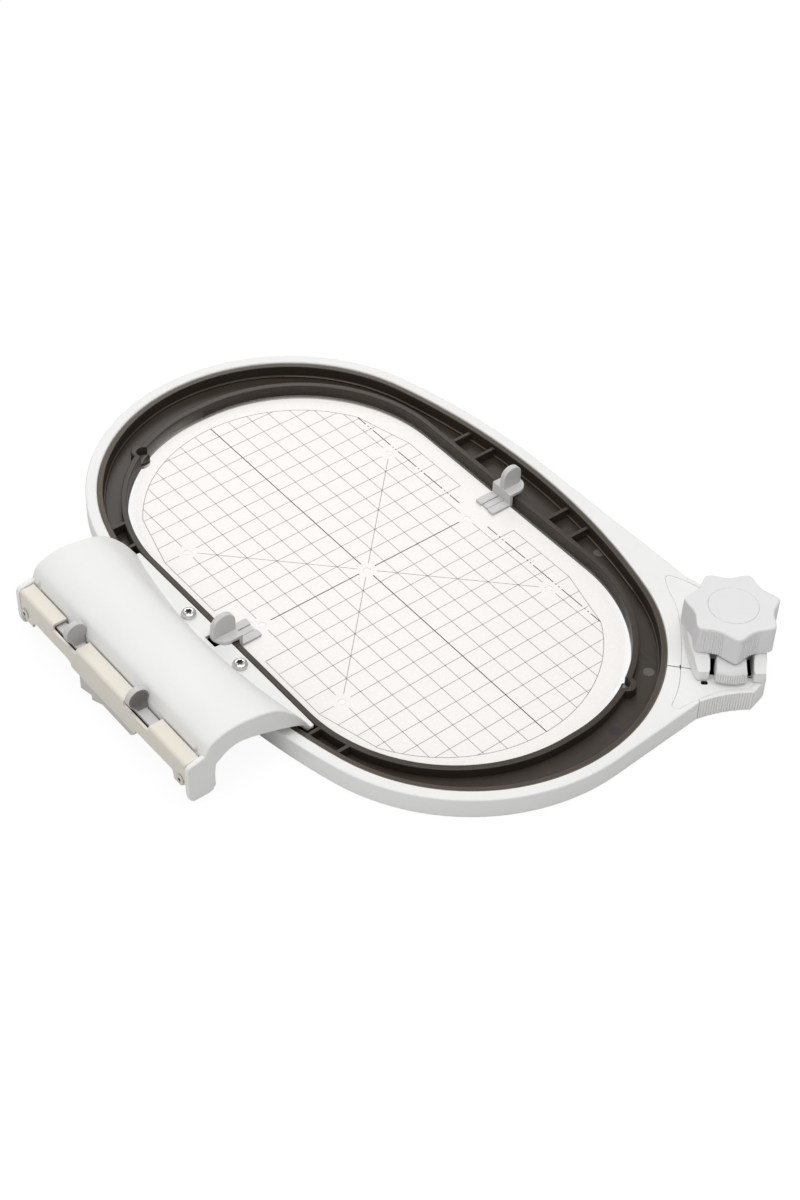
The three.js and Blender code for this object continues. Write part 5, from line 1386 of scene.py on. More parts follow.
@dataclass
class CouplingArm:
    """Moulded arm: an arch from the flange over the outer ring to the front wall, with two end plates."""

    half_length: float = 68.0
    peak_y: float = -121.0
    peak_z: float = 32.9
    wall_front: float = -140.6
    wall_back: float = -135.4
    wall_top: float = 22.8
    wall_base: float = 3.2
    end_wall: float = 2.6
    skin: float = 2.5
    depth: float = 11.8
    haunch: float = 7.0
    flange_edge: float = -84.15
    flange_seat: float = 5.6
    flange_top: float = 7.6
    crease_depth: float = 7.6
    crease_least: float = 1.75
    leg_front: float = -149.4
    leg_base: float = 0.8
    leg_round: float = 3.6
    leg_edge: float = 0.7
    edge: float = 0.9
    bays: int = 4
    rib: float = 2.0
    notch: Pair = (3.9, 7.5)
    end_dimple: Pair = (61.7, 1.5)
    screw_x: float = 20.0
    screw_y: float = -89.3
    screw_hole: float = 1.9
    boss_half: float = 3.4

    def crease(self, x: Array) -> Array:
        """How far the arch's foot lies behind the flange's edge: a parabola along the arm."""
        return self.crease_least + self.crease_depth * (1 - (x / self.half_length) ** 2)

    def outside(self, x: Array, skin: float, count: int) -> Array:
        """Arch from the front wall to the crease at every station, drawn in by a skin.

        Args:
            x: Stations along the arm.
            skin: Thickness that is drawn in.
            count: Points along the curve.

        Returns:
            Array of curve points by stations by Y and Z.
        """
        back, front, base = self.crease(x), self.wall_front, self.flange_top
        front_run, rise = self.peak_y - front, self.peak_z - self.wall_top
        fall, run = self.peak_z - base, self.flange_edge - self.peak_y
        return flowing(over_stations(x, [
            (front + skin, self.wall_top),
            (front + 0.14 * front_run + 0.9 * skin, self.wall_top + 0.6 * rise - 0.5 * skin),
            (front + 0.5 * front_run + 0.3 * skin, self.wall_top + 0.93 * rise - skin),
            (self.peak_y, self.peak_z - skin),
            (self.peak_y + 0.46 * run - 0.35 * back - 0.5 * skin, base + 0.86 * fall - 0.9 * skin),
            (self.peak_y + 0.78 * run - 0.85 * back - 0.8 * skin, base + 0.48 * fall - 0.7 * skin),
            (self.flange_edge - back - 1.2 * skin, base)]), count)

    def section(self, x: Array) -> Array:
        """Closed section at every station: wall, underside of the arch, flange and arch."""
        back, edge, seat, top = self.crease(x), self.flange_edge, self.flange_seat, self.flange_top
        under = flowing(over_stations(x, [
            (edge - back - 4, seat + 4.4), (edge - 0.7 * back - 11, seat + 8),
            (self.peak_y + 4, self.peak_z - self.depth - 0.4), (self.peak_y - 6, self.peak_z - self.depth),
            (self.wall_back, self.wall_top - self.haunch)]), 28)
        flange = over_stations(x, [
            (edge - back - 2, seat), (edge - 0.5, seat), (edge, seat + 0.5), (edge, top - 0.5),
            (edge - 0.15, top - 0.15), (edge - 0.5, top)])
        feet = over_stations(x, [(self.wall_back, self.wall_base), (self.wall_front, self.wall_base)])
        return np.concatenate([feet[:1], under[::-1], flange, self.outside(x, 0.0, 72)[::-1], feet[1:]])

    def body(self) -> Form:
        """Loft of the sections, with quarter-round ends.

        Near an end the section is drawn in by edge (1 - sin a) while X stops short by edge (1 - cos a).
        """
        draw, short = quarter_round(self.edge, 5)
        stop = self.half_length - short
        middle = np.linspace(-stop[-1], stop[-1], 61)[1:-1]
        x = np.concatenate([-stop, middle, stop[::-1]])
        draws = np.concatenate([draw, np.zeros(len(middle)), draw[::-1]])
        section = self.section(x)
        drawn = np.stack([inset(section[:, i], d) for i, d in enumerate(draws)], axis=1)
        return loft(at_stations(x, drawn), [1, 2])

    def core(self, low: float, high: float) -> Form:
        """Hollow between two ribs, under the arch and open below."""
        x = np.linspace(low, high, 9)
        under = self.outside(x, self.skin, 80)[12:62]
        floor = over_stations(x, [(under[-1, :, 0], self.wall_base), (self.wall_back, self.wall_base),
                                  (self.wall_back, under[0, :, 1])])
        return loft(at_stations(x, np.concatenate([under, floor])), [1, 2])

    def leg(self, side: int, rail_top: float) -> Form:
        """End plate that closes the arm and frames the rail.

        Args:
            side: -1 or 1, along X.
            rail_top: Height of the rail's top.

        Returns:
            The plate, a prism along X.
        """
        top, back, r = rail_top + 0.6, self.wall_back - 0.6, self.leg_round
        front, base = self.leg_front, self.leg_base
        outline = np.concatenate([
            [[self.wall_back + 0.4, self.wall_top - self.haunch], [self.wall_front, self.wall_top + 1.2]],
            bezier((front + r, top), (front, top), (front, top - r), 9),
            bezier((front, base + 2 * r), (front, base), (front + r, base), 9),
            bezier((back - r, base), (back, base), (back, base + r), 9)])
        ends = sorted((side * (self.half_length - self.end_wall), side * (self.half_length - 0.02)))
        return prism(outline, *ends, self.leg_edge).along(Axis.X)

    def build(self, rail: "QuickRelease") -> Piece:
        """Arm with its bays, end plates, notches and screw holes.

        Args:
            rail: What the end plates and bosses carry.

        Returns:
            The arm.
        """
        inner = self.half_length - self.end_wall
        bay, i = 2 * inner / self.bays, np.arange(self.bays)
        lows = -inner + i * bay + np.where(i > 0, self.rib / 2, 0.0)
        highs = -inner + (i + 1) * bay - np.where(i + 1 < self.bays, self.rib / 2, 0.0)
        below, above = self.flange_seat - OVERCUT, self.flange_top + OVERCUT
        dimple_x, dimple_radius = self.end_dimple
        legs, bosses, cuts = [], [], []
        for side in SIDES:
            legs.append(self.leg(side, rail.top))
            bosses.append(slab(side, (rail.screw_x - self.boss_half, inner + OVERCUT),
                               (rail.front + rail.sheet + CLEARANCE, self.wall_front + OVERCUT),
                               (rail.screw_z - self.boss_half, rail.screw_z + self.boss_half)))
            cuts.append(rod(side * dimple_x, self.wall_front - 0.5, dimple_radius, rail.top - 1.0, rail.top + 4.6))
            cuts.append(rod(side * self.screw_x, self.screw_y, self.screw_hole, below, above))
        half, depth = self.notch
        cuts.append(block((-half, self.flange_edge - depth, below), (half, self.flange_edge + OVERCUT, above)))
        # The hollows come last: a small cut after them doesn't come out the same on every run.
        cuts += [self.core(low, high) for low, high in zip(lows, highs)]
        return make("coupling_arm", WHITE, Body.INNER, self.body(), [*legs, *bosses], cuts, 36.0)


@dataclass
class QuickRelease:
    """Bent rail, slide housing, release levers and their springs."""

    half_length: float = 65.1
    front: float = -148.8
    back: float = -140.9
    rail_back: float = -141.3
    top: float = 22.2
    sheet: float = 1.2
    bend: float = 1.6
    tab_base: float = 6.2
    tab_width: float = 9.0
    web_base: float = 10.4
    apron_base: float = 7.4
    apron: Pair = (-24.0, 26.0)
    corner: float = 4.0
    screw_x: float = 61.6
    screw_z: float = 11.0
    screw_hole: float = 1.6
    window_inner: float = 18.9
    window_outer: float = 37.7
    plate_low: float = 17.8
    plate_top: float = 19.4
    plate_inner: float = 11.0
    plate_outer: float = 46.0
    plate_front_gap: float = 0.9
    plate_back_gap: float = 0.5
    plate_edge: float = 0.2
    fin_inner: float = 22.8
    fin_outer: float = 26.0
    fin_height: float = 12.5
    fin_radius: float = 5.25
    fin_root: float = 4.7
    fin_reach: float = 1.1
    fin_sweep: float = 238.0
    fin_edge: float = 0.55
    stud_pitch: float = 0.8
    stud_rise: float = 0.25
    stud_margin: float = 0.6
    foot_drop: float = 10.6
    housing_half: float = 54.0
    housing_base: float = 9.2
    housing_top: float = 17.4
    channel: float = 3.4
    channel_floor: float = 3.0
    channel_start: float = 8.0
    keel: Pair = (-18.0, 25.0)
    keel_tooth: float = 9.2
    keel_low: float = -1.1
    keel_rise: float = 3.0
    keel_run: float = 3.4
    keel_end: float = 2.4
    spring_turns: int = 8
    spring_radius: float = 1.05
    spring_wire: float = 0.28
    spring_start: float = 8.3
    lever_travel: float = 3.5

    @property
    def housing_front(self) -> float:
        """Front of the housing, behind the rail's sheet."""
        return self.front + self.sheet + CLEARANCE

    @property
    def middle(self) -> float:
        """Y of the levers' channel."""
        return (self.housing_front + self.back) / 2

    @property
    def fin_centre(self) -> Pair:
        """Y and Z of the middle of the levers' round fins."""
        return (self.back + self.fin_reach - self.fin_radius, self.plate_top + self.fin_height - self.fin_radius)

    def in_channel(self, half: float) -> Pair:
        """Stretch in Y round the channel's middle."""
        return (self.middle - half, self.middle + half)

    def build_rail(self) -> Piece:
        """Rail bent from sheet, with its windows, tabs and deep middle apron."""
        centre = (self.front + self.bend, self.top - self.bend)
        section = np.concatenate([
            [[self.rail_back, self.top]], arc(centre, self.bend, np.pi / 2, np.pi, 10),
            [[self.front, self.tab_base + 0.3], [self.front + 0.3, self.tab_base],
             [self.front + self.sheet, self.tab_base]],
            arc(centre, self.bend - self.sheet, np.pi, np.pi / 2, 8), [[self.rail_back, self.top - self.sheet]]])
        body = prism(section, -self.half_length, self.half_length, 0.15, steps=3).along(Axis.X)
        edge, tab, low = self.half_length, self.half_length - self.tab_width, self.tab_base - OVERCUT
        far, near = self.apron
        web, shoulder, chamfer = self.web_base, self.tab_base + self.corner, edge - self.corner
        near_waste = np.concatenate([
            [[near, low], [near, self.apron_base], [near + 1.5, web]],
            bezier((tab - 1.5, web + 0.8), (tab, web + 0.8), (tab, low), 8)])[::-1]
        far_waste = np.concatenate([
            [[-tab, low], [far, low], [far, self.apron_base]],
            bezier((far, self.apron_base + 0.6), (far, web), (far - 5, web), 8),
            bezier((-tab + 5, web), (-tab, web), (-tab, low + 0.6), 8)])
        wedge = np.array([[edge + 1, low], [edge + 1, shoulder], [edge, shoulder], [chamfer, self.tab_base],
                          [chamfer, low]])
        y0, y1 = self.front - OVERCUT, self.front + self.sheet + OVERCUT
        cuts = [prism(near_waste, y0, y1).along(Axis.Y), prism(far_waste, y0, y1).along(Axis.Y),
                block((far - OVERCUT, y0, low - OVERCUT), (near + OVERCUT, y1, self.apron_base))]
        for side in SIDES:
            cuts.append(slab(side, (self.window_inner, self.window_outer), (y0, self.back + OVERCUT),
                             (self.plate_top - SLIDE, self.top + OVERCUT)))
            outlines = (wedge[::-1] if side > 0 else wedge * [-1, 1],
                        circle((side * self.screw_x, self.screw_z), self.screw_hole, 32))
            cuts += [prism(outline, y0, y1).along(Axis.Y) for outline in outlines]
        return make("coupling_rail", BEIGE, Body.INNER, body, cut=cuts, crease=30.0)

    def build_housing(self) -> Piece:
        """Housing behind the rail, with spring channels, a stepped keel below, and painted shade on its top, seen in
        the gap behind the rail.
        """
        body = block((-self.housing_half, self.housing_front, self.housing_base),
                     (self.housing_half, self.back, self.housing_top), 0.3)
        top, (start, end) = self.apron_base - CLEARANCE, self.keel
        tooth, low, run, ease = self.keel_tooth, self.keel_low, self.keel_run, self.keel_end
        outline = np.array([[start, top], [start, low], [start + tooth, low + self.keel_rise], [start + tooth, low],
                            [start + 2 * tooth, run], [end - ease, run], [end, run + ease], [end, top]])
        keel = prism(filleted(outline, 0.5, 3), self.front + 0.2, self.back, 0.35, steps=3).along(Axis.Y)
        neck = block((start, self.housing_front, top - OVERCUT), (end, self.back - 0.05, self.housing_base + OVERCUT))
        across = self.in_channel(self.channel / 2)
        cuts = []
        for side in SIDES:
            cuts.append(slab(side, (self.channel_start, self.fin_outer + self.lever_travel), across,
                             (self.housing_base + self.channel_floor, self.housing_top + OVERCUT)))
            cuts.append(slab(side, (self.window_inner, self.fin_outer + SLIDE), across,
                             (run - OVERCUT, self.housing_top)))
        housing = make("slide_housing", LIGHT_GREY, Body.INNER, body, [keel, neck], cuts)
        # Painted shade: the top of the housing, seen through the narrow gap behind the rail, gets the dark shade
        # colour.
        upward = face_values(housing, "normal")[:, 2] > 0.9
        second_finish(housing, SHADE_AND_DARK_MARK, upward & (face_values(housing, "center")[:, 2] > self.housing_top - 0.5))
        return housing

    def build_lever(self, side: int, number: int) -> Piece:
        """Lever: sliding plate, round fin that leans over its root, and a latch foot.

        Args:
            side: -1 or 1, along X.
            number: 1 or 2.

        Returns:
            The lever, with painted shade on the fin's two faces: a darker grey on the pushed face, and a matt darker
            grey on the inner face.
        """
        low, high = sorted((side * self.fin_inner, side * self.fin_outer))
        edge, root = self.back - 0.15, self.back - self.fin_root
        start = -math.acos((edge - self.fin_centre[0]) / self.fin_radius)
        outline = np.concatenate([
            [[root, self.plate_top - 0.2], [edge, self.plate_top - 0.2]],
            arc(self.fin_centre, self.fin_radius, start, math.radians(self.fin_sweep), 64)])
        fin = prism(outline, low, high, self.fin_edge).along(Axis.X)
        parts = [
            slab(side, (self.plate_inner, self.plate_outer),
                 (self.housing_front + self.plate_front_gap, self.back - self.plate_back_gap),
                 (self.plate_low, self.plate_top), self.plate_edge),
            slab(side, (self.fin_inner + 0.1, self.fin_outer - 0.1), (root + 0.1, self.back - 0.1),
                 (self.plate_low + 0.1, self.plate_top + OVERCUT)),
            slab(side, (self.fin_inner + 0.05, self.fin_outer - 0.05), self.in_channel(self.channel / 2 - SLIDE),
                 (self.plate_low - self.foot_drop, self.plate_low + 0.8), self.plate_edge)]
        lever = make(f"release_lever_{number}", LIGHT_GREY, LEVERS[number - 1], fin, parts)
        # Painted shade: a darker grey on the fin's pushed face and on its inner face.
        across = side * face_values(lever, "normal")[:, 0]
        raised = face_values(lever, "center")[:, 2] > self.plate_top + 0.4
        second_finish(lever, STUD_SHADE_GREY, raised & (across > 0.95))
        second_finish(lever, MATT_SHADE_GREY, raised & (across < -0.95))
        return lever

    def build_studs(self, side: int, number: int) -> Piece:
        """Field of small square studs on the face that a finger pushes, within the fin's round outline.

        Each place of an even grid that lies inside the fin gets a stud with eight corners: its foot is sunk in the
        face, and its top is drawn in on all four sides.

        Args:
            side: -1 or 1, along X.
            number: 1 or 2.

        Returns:
            The studs as one piece.
        """
        centre, pitch, reach = np.array(self.fin_centre), self.stud_pitch, self.fin_radius - self.stud_margin
        steps = np.arange(-reach, reach, pitch)
        low = np.stack(np.meshgrid(*(middle + steps for middle in centre), indexing="ij"), axis=-1).reshape(-1, 2)
        low = low + 0.12 * pitch
        high = low + 0.76 * pitch
        inside = (np.linalg.norm((low + high) / 2 - centre, axis=1) < reach) & (low[:, 1] > self.plate_top + 1.6)
        low, high = low[inside], high[inside]
        face, draw = side * self.fin_outer, 0.14 * pitch
        corners = [over_stations(y0, [(y0, z0), (y1, z0), (y1, z1), (y0, z1)])
                   for (y0, z0), (y1, z1) in ((low.T, high.T), ((low + draw).T, (high - draw).T))]
        depth = np.repeat([face - side * 0.3, face + side * self.stud_rise], 4)
        yz = np.concatenate(corners).transpose(1, 0, 2)
        points = np.concatenate([np.broadcast_to(depth[None, :, None], yz.shape[:2] + (1,)), yz], axis=2)
        cube = np.array([[0, 3, 2, 1], [4, 5, 6, 7], [0, 1, 5, 4], [1, 2, 6, 5], [2, 3, 7, 6], [3, 0, 4, 7]])
        faces = (np.arange(len(points))[:, None, None] * 8 + cube).reshape(-1, 4)
        studs = Form(points.reshape(-1, 3), [faces])
        # The studs get the same painted shade as the face they stand on.
        return make(f"release_lever_{number}_studs", STUD_SHADE_GREY, LEVERS[number - 1], studs, solid=False)

    def build_spring(self, side: int, number: int) -> Piece:
        """Coil between the housing's middle and a lever's foot: a helix along X.

        Args:
            side: -1 or 1, along X.
            number: 1 or 2.

        Returns:
            The spring, on its own copy of its mesh.
        """
        t = np.linspace(0.0, 1.0, self.spring_turns * 24 + 1)
        turn = TURN * self.spring_turns * t
        start, end = self.spring_start + self.spring_wire, self.fin_inner - CLEARANCE - self.spring_wire
        height = self.housing_base + self.channel_floor + self.channel / 2
        line = np.stack([side * (start + (end - start) * t), self.middle + self.spring_radius * np.cos(turn),
                         height + self.spring_radius * np.sin(turn)], axis=1)
        spring = make(f"lever_spring_{number}", STEEL, Body.INNER, tube(line, self.spring_wire))
        anchor = (side * self.spring_start * MM, self.middle * MM, 0.0)
        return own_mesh(spring)

    def build(self) -> list[Piece]:
        """All pieces of the quick release."""
        return [self.build_rail(), self.build_housing(), *(
            build(side, number) for number, side in enumerate(SIDES, start=1)
            for build in (self.build_lever, self.build_studs, self.build_spring))]


@dataclass(frozen=True)
class PanScrew:
    """Pan-head screw with a six-lobed recess, along +Z with its head on top."""

    radius: float
    head_radius: float
    head_height: float
    length: float
    recess: float
    finish: Finish = NICKEL

    def forms(self) -> tuple[Form, Form]:
        """Screw body spun from a profile, and the cutter of its recess."""
        r, h = self.head_radius, self.head_height
        dome = bezier((r, 0.35 * h), (0.95 * r, h), (0.4 * r, h), 12)
        profile = np.concatenate([[[0.02, -self.length], [self.radius, -self.length], [self.radius, 0.0], [r, 0.0]],
                                  dome, [[0.02, h]]])
        turn = once_round(72)
        star = self.recess * (0.86 + 0.14 * np.cos(6 * turn))
        outline = np.stack([star * np.cos(turn), star * np.sin(turn)], axis=1)
        return lathe(profile, 48), prism(outline, min(0.3 * h, h - 1.3), h + OVERCUT)

    def build(self, node: str, place: Sequence[float], axis: Axis) -> Piece:
        """Screw at a place, with painted shade in its recess.

        Args:
            node: Solid that it stands for.
            place: Middle of the seat under its head.
            axis: Z for a screw that stands up, Y for one that faces -Y.

        Returns:
            The screw.
        """
        upright = axis is Axis.Z
        whole, cutter = ((form if upright else Form(form.points * [1, 1, -1], form.faces).along(axis)).moved(*place)
                         for form in self.forms())
        screw = make(node, self.finish, Body.INNER, whole, cut=[cutter], crease=50.0)
        away = face_values(screw, "center") - np.array(place)
        height, aside = (away[:, 2], away[:, :2]) if upright else (-away[:, 1], away[:, [0, 2]])
        # Painted shade: faces inside the recess get a darker colour.
        sunk = (height > -1.0) & (height < self.head_height - 0.08)
        second_finish(screw, MARK_AND_RECESS_SHADE, sunk & (np.linalg.norm(aside, axis=1) < self.recess))
        return screw


# Template


@dataclass
class SewingTemplate:
    """Milky clear plate with marking holes, a printed centimetre grid and a grip on each long edge."""

    gap: float = 0.7
    thickness: float = 1.8
    edge: float = 0.25
    offset: float = -3.1
    mark_pitch: float = 60.0
    mark_radius: float = 1.6
    field_half_length: float = 127.5
    field_half_width: float = 72.5
    chamfer_from: float = 60.0
    chamfer_to: float = 91.0
    end_centre: float = 52.6
    cut_in: float = 20.0
    pitch: float = 10.0
    columns: int = 12
    rows: int = 6
    clear: float = 4.6
    thin: float = 0.28
    bold: float = 0.5
    dash_v: float = 64.2
    dash: float = 14.4
    dots: tuple[Pair, ...] = ((1.3, 2.2), (3.6, 4.4))
    dash_start: float = 3.4
    dash_period: float = 20.25
    dash_clear: float = 10.6
    ink: float = 0.02
    ink_gap: float = 0.004
    grip_seat: float = 7.6
    grip_half: float = 6.5
    grip_wall: float = 1.7
    tongue: float = 1.6
    tongue_reach: float = 10.4
    tine: Triple = (4.4, 10.6, 1.5)
    clip: Triple = (1.75, 10.0, 1.2)
    overlap: float = 0.8
    fin_height: float = 11.0
    fin_half: float = 1.5
    fin_cut: Pair = (1.4, 0.0)

    @property
    def end_radius(self) -> float:
        """Radius of the printed field's end arcs."""
        return self.field_half_length - self.end_centre

    def marks(self) -> Array:
        """Places of the marking holes, on the field's own axes."""
        return self.mark_pitch * np.array([[0, 0], [0, 1], [0, -1], [1, 1], [1, -1], [-1, 1], [-1, -1]], float)

    def build_plate(self) -> Piece:
        """Plate with rounded edges, marking holes and notches for the lugs."""
        holes = [circle(mark + [0, self.offset], self.mark_radius, 32) for mark in self.marks()]
        body = prism(PLAN.window(-self.gap), 0.0, self.thickness, self.edge, holes, steps=3)
        notches = [rod(x, y, PLAN.lug_radius + self.gap, -OVERCUT, self.thickness + OVERCUT)
                   for x, y in PLAN.lugs(PLAN.lug_outset)]
        return make("template", CLEAR, Body.TEMPLATE, body, cut=notches)

    def half_height(self, u: Union[float, Array]) -> Array:
        """Half height of the printed field at a place along it: straight, then a chamfer, then an arc."""
        a = np.abs(u)
        round_end = np.sqrt(np.maximum(self.end_radius ** 2 - np.maximum(a - self.end_centre, 0) ** 2, 0.0))
        corner = math.sqrt(self.end_radius ** 2 - (self.chamfer_to - self.end_centre) ** 2)
        slope = (a - self.chamfer_from) / (self.chamfer_to - self.chamfer_from)
        chamfer = self.field_half_width + slope * (corner - self.field_half_width)
        return np.where(a > self.chamfer_to, round_end, np.where(a > self.chamfer_from, chamfer, self.field_half_width))

    def broken(self, start: Sequence[float], end: Sequence[float]) -> list[Array]:
        """A line with gaps round the marking holes that it passes.

        Args:
            start: One end of the line.
            end: The other end.

        Returns:
            What is left of it, as pairs of points.
        """
        start, end = np.array(start, float), np.array(end, float)
        length = np.linalg.norm(end - start)
        along = (end - start) / length
        to_marks = self.marks() - start
        place = to_marks @ along
        aside = np.abs(to_marks[:, 0] * along[1] - to_marks[:, 1] * along[0])
        stops = np.sort(place[(aside < 1.0) & (place > -self.clear) & (place < length + self.clear)])
        edges = np.concatenate([[0.0], np.stack([stops - self.clear, stops + self.clear], axis=1).ravel(), [length]])
        pairs = np.clip(edges, 0.0, length).reshape(-1, 2)
        return [start + pair[:, None] * along for pair in pairs if pair[1] - pair[0] > 0.5]

    def thin_lines(self) -> list[Array]:
        """Thin lines of the grid, diagonals and the border."""
        lines, m = [], self.mark_pitch
        for u in np.arange(-self.columns, self.columns + 1) * self.pitch:
            reach = m if abs(u) < self.cut_in else float(self.half_height(u))
            lines += self.broken((u, -reach), (u, reach)) if u else []
        for v in np.arange(-self.rows, self.rows + 1) * self.pitch:
            reach = self.end_centre + math.sqrt(self.end_radius ** 2 - v ** 2)
            lines += self.broken((-reach, v), (reach, v)) if v else []
        for sign in SIDES:
            lines += self.broken((-m, -sign * m), (m, sign * m))
        return lines + self.border()

    def bold_lines(self) -> list[Array]:
        """Bold centre lines and the dash-dot line along one long side."""
        lines = self.broken((-self.field_half_length, 0), (self.field_half_length, 0))
        lines += self.broken((0, -self.mark_pitch), (0, self.mark_pitch))
        strokes = [(0.0, self.dash), *((self.dash + low, self.dash + high) for low, high in self.dots)]
        for side in SIDES:
            for start in np.arange(self.dash_start, self.chamfer_to, self.dash_period):
                for low, high in strokes:
                    a, b = max(start + low, self.dash_clear), min(start + high, self.chamfer_to)
                    if b > a:
                        lines.append(np.array([[side * a, self.dash_v], [side * b, self.dash_v]]))
        return lines

    def border(self) -> list[Array]:
        """Printed border as two open lines, each round one end of the field, broken by the grips' cut-ins."""
        sweep = math.acos((self.chamfer_to - self.end_centre) / self.end_radius)
        end = arc((self.end_centre, 0.0), self.end_radius, -sweep, sweep, 90)
        top = np.array([[self.chamfer_to, self.half_height(self.chamfer_to)],
                        [self.chamfer_from, self.field_half_width], [self.cut_in, self.field_half_width],
                        [self.cut_in, self.mark_pitch]], float)
        right = np.concatenate([(top * [1, -1])[:0:-1], end, top])
        return [right, right * [-1, 1]]

    def ribbon(self, path: Array, width: float) -> Form:
        """Flat line of ink along a path, a little above the plate, as a thin closed strip.

        Each point is pushed half the width to both sides of the path, at the bottom and the top of the ink.
        """
        ahead = unit(np.gradient(path, axis=0))
        aside = np.stack([-ahead[:, 1], ahead[:, 0]], axis=1) * width / 2
        low = self.thickness + self.ink_gap
        left, right = path + aside + [0, self.offset], path - aside + [0, self.offset]
        return loft(np.stack([at_height(edge, z) for edge, z in (
            (left, low), (right, low), (right, low + self.ink), (left, low + self.ink))], axis=1))

    def build_print(self) -> list[Piece]:
        """Thin and bold printed lines."""
        pieces = []
        for name, paths, width, ink in (("grid_print", self.thin_lines(), self.thin, LINE),
                                        ("bold_print", self.bold_lines(), self.bold, BOLD_LINE)):
            form = functools.reduce(Form.__add__, (self.ribbon(path, width) for path in paths))
            pieces.append(make(name, ink, Body.TEMPLATE, form, solid=False))
        return pieces

    def build_grip(self, number: int, turn: float) -> Piece:
        """Grip on a long edge: two tines and a clip on the plate, a wall, a tongue over the rim and a round fin.

        Args:
            number: 1 or 2.
            turn: Degrees about Z from the +Y edge.

        Returns:
            The grip.
        """
        base, half = self.thickness + CLEARANCE, self.grip_half
        top = self.grip_seat + CLEARANCE + self.tongue
        out = PLAN.window_half_width - self.gap - 0.3
        inner, tip = out - self.grip_wall, out + self.tongue_reach
        wall = block((-half + 0.02, inner + 0.02, base), (half - 0.02, out, top - 0.6))
        width, length, height = self.tine
        tine = filleted(rectangle((half - width, inner - length), (half, inner + self.overlap)), 0.9)
        parts = [prism(plan, base, base + height, 0.3, steps=3) for plan in (tine, (tine * [-1, 1])[::-1])]
        width, length, height = self.clip
        clip = filleted(rectangle((-width, inner - length), (width, inner + self.overlap)), 0.8)
        parts.append(prism(clip, base, base + height, 0.15, steps=2))
        tongue = np.concatenate([[[-half, inner], [half, inner]], arc((0, tip - half), half, 0.0, np.pi + 0.01, 40)])
        parts.append(prism(tongue, top - self.tongue, top, 0.35, base_radius=0.0))
        fin_tip = tip - self.fin_cut[number - 1]
        radius = (fin_tip - inner) / 2
        round_fin = arc((inner + radius, top + self.fin_height - radius), radius, 0.0, np.pi + 0.01, 56)
        fin = np.concatenate([[[inner, top - self.overlap], [fin_tip, top - self.overlap]], round_fin])
        parts.append(prism(fin, -self.fin_half, self.fin_half, 0.5).along(Axis.X))
        return make(f"template_grip_{number}", LIGHT_GREY, Body.TEMPLATE, wall.turned(turn),
                    [part.turned(turn) for part in parts])

    def build(self) -> list[Piece]:
        """Plate, print and grips."""
        return [self.build_plate(), *self.build_print(), self.build_grip(1, 0.0), self.build_grip(2, 180.0)]


# Studio


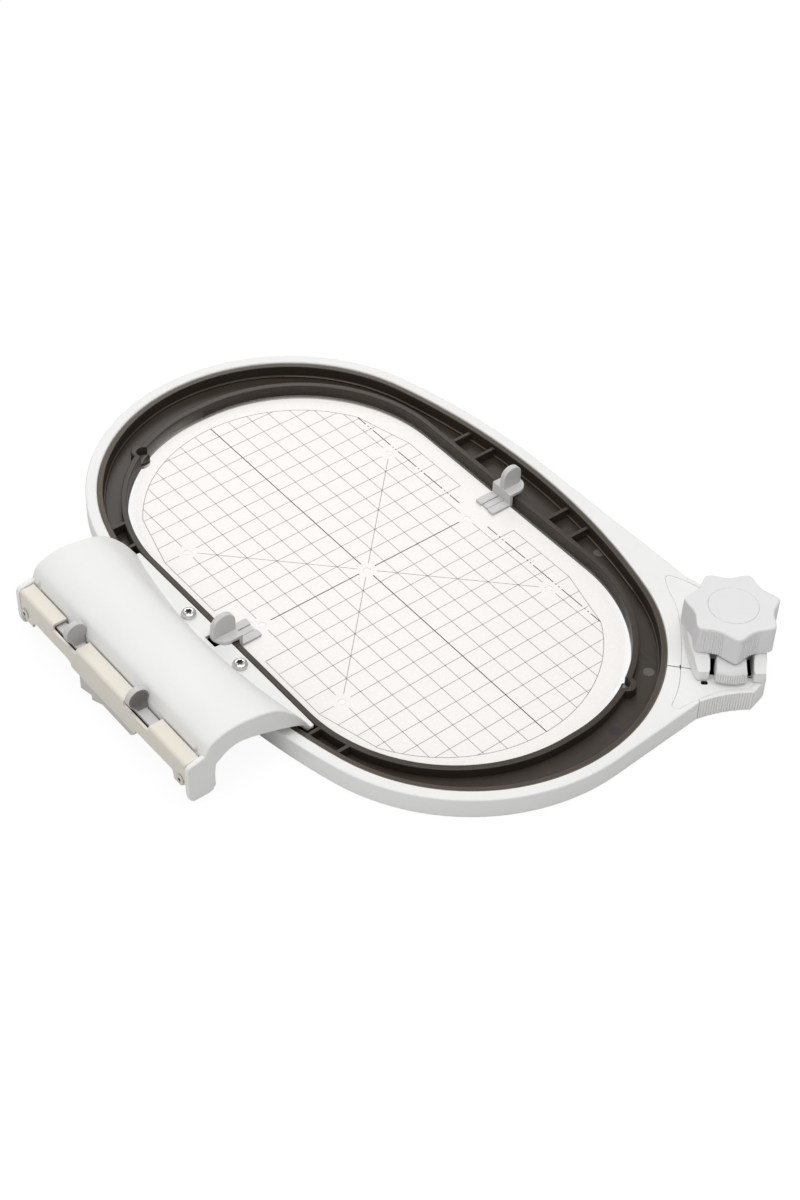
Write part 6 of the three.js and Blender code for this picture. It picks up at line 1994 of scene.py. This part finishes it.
@dataclass(frozen=True)
class Studio:
    """White floor, soft light and the camera at the photograph's viewpoint."""

    camera_place: Triple = (586.28, -466.79, 707.56)
    camera_turn: Triple = (45.869, -1.366, 51.7755)
    focal: float = 2207.76
    picture_height: float = 1200.0
    sensor: float = 36.0
    floor_half: float = 4.0
    floor_gap: float = 0.0001
    floor_shade: float = 0.72
    floor_glow: float = 0.88
    glow_strength: float = 1.06
    ambient: float = 0.4
    key_power: float = 14.2
    white: Four = (1.0, 1.0, 1.0, 1.0)

    def build(self) -> None:
        """Makes the floor, the lamps, the world and the camera."""
        self.floor()
        self.lamps()
        self.world()
        self.camera()
        bpy.context.scene.view_settings.view_transform = "Standard"

    def floor(self) -> None:
        """Plain floor that stays near white in view and keeps the hoop's soft shadow."""
        half, z = self.floor_half, CAD_BOX[0][2] - self.floor_gap
        mesh = bpy.data.meshes.new("floor")
        mesh.from_pydata(at_height(rectangle((-half, -half), (half, half)), z).tolist(), [], [(0, 1, 2, 3)])
        material, graph = blank("floor white")
        plain = graph.add("ShaderNodeBsdfDiffuse", {}, {"Color": (*(self.floor_shade,) * 3, 1.0)})
        glow = graph.add("ShaderNodeEmission", {}, {"Color": self.white, "Strength": self.glow_strength})
        graph.close(graph.add("ShaderNodeMixShader", {}, {0: self.floor_glow * graph.seen(), 1: plain, 2: glow}))
        mesh.materials.append(material)
        linked("floor", mesh)

    def world(self) -> None:
        """Even white surround that is full white only where it is seen."""
        world = bpy.data.worlds.new("surround")
        world.use_nodes = True
        graph = Graph(world.node_tree)
        strength = self.ambient + (1.0 - self.ambient) * graph.seen()
        graph.close(graph.add("ShaderNodeBackground", {}, {"Color": self.white, "Strength": strength}), "World")
        bpy.context.scene.world = world

    def lamps(self) -> None:
        """Broad key light overhead, a low one on the arm's side, and a weak one from behind."""
        for name, place, size, share in (("key", (0.1, 0.12, 1.6), 1.4, 1.0), ("low", (0.2, -1.35, 0.95), 1.0, 0.3),
                                         ("back", (-1.25, 0.7, 1.05), 0.8, 0.28)):
            light = bpy.data.lights.new(name, "AREA")
            light.size = size
            light.energy = share * self.key_power
            lamp = linked(name, light)
            lamp.location = place
            lamp.rotation_euler = Vector(place).to_track_quat("Z", "Y").to_euler()

    def camera(self) -> None:
        """Camera with the photograph's place, turn and focal length."""
        lens = bpy.data.cameras.new("camera")
        lens.sensor_fit = "VERTICAL"
        lens.sensor_height = self.sensor
        lens.lens = self.focal * self.sensor / self.picture_height
        lens.clip_start = 0.01
        camera = linked("camera", lens)
        turn = Euler([math.radians(angle) for angle in self.camera_turn])
        camera.matrix_world = Matrix.Translation(Vector(self.camera_place) * MM) @ turn.to_matrix().to_4x4()
        bpy.context.scene.camera = camera


def dress_solids(finish: Finish, *nodes: str) -> None:
    """Gives solids that stay in view their finish."""
    for node in nodes:
        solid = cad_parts[node]
        solid.data.materials.clear()
        solid.data.materials.append(material_of(finish))
        LOG.info("%s: solid kept, %s", node, finish.name)


def main() -> None:
    """Builds the studio and every sub-assembly."""
    logging.basicConfig(level=logging.INFO, format="%(message)s")
    Studio().build()
    clamp = TwistClamp()
    OuterRing(clamp).build()
    for near in (True, False):
        clamp.build_cover(near)
        clamp.build_pad(near)
    clamp.build_fork()
    clamp.build_pull_block()
    TwistKnob(clamp).build()
    inner = InnerRing()
    inner.build()
    inner.build_marks()
    release, arm = QuickRelease(), CouplingArm()
    arm.build(release)
    release.build()
    flange_screw = PanScrew(1.6, 3.5, 2.0, 6.0, 1.75)
    rail_screw = PanScrew(1.3, 2.5, 0.5, 6.0, 1.1, ZINC)
    for number, side in enumerate(SIDES, start=1):
        flange_screw.build(f"arm_screw_{number}", (side * arm.screw_x, arm.screw_y, arm.flange_top + CLEARANCE), Axis.Z)
        rail_screw.build(f"rail_screw_{number}",
                         (side * release.screw_x, release.front - CLEARANCE, release.screw_z), Axis.Y)
    SewingTemplate().build()
    dress_solids(STEEL, "axle_screw", "axle_washer", "fork_screw_1", "fork_screw_2", "block_screw")


if __name__ == "__main__":
    main()
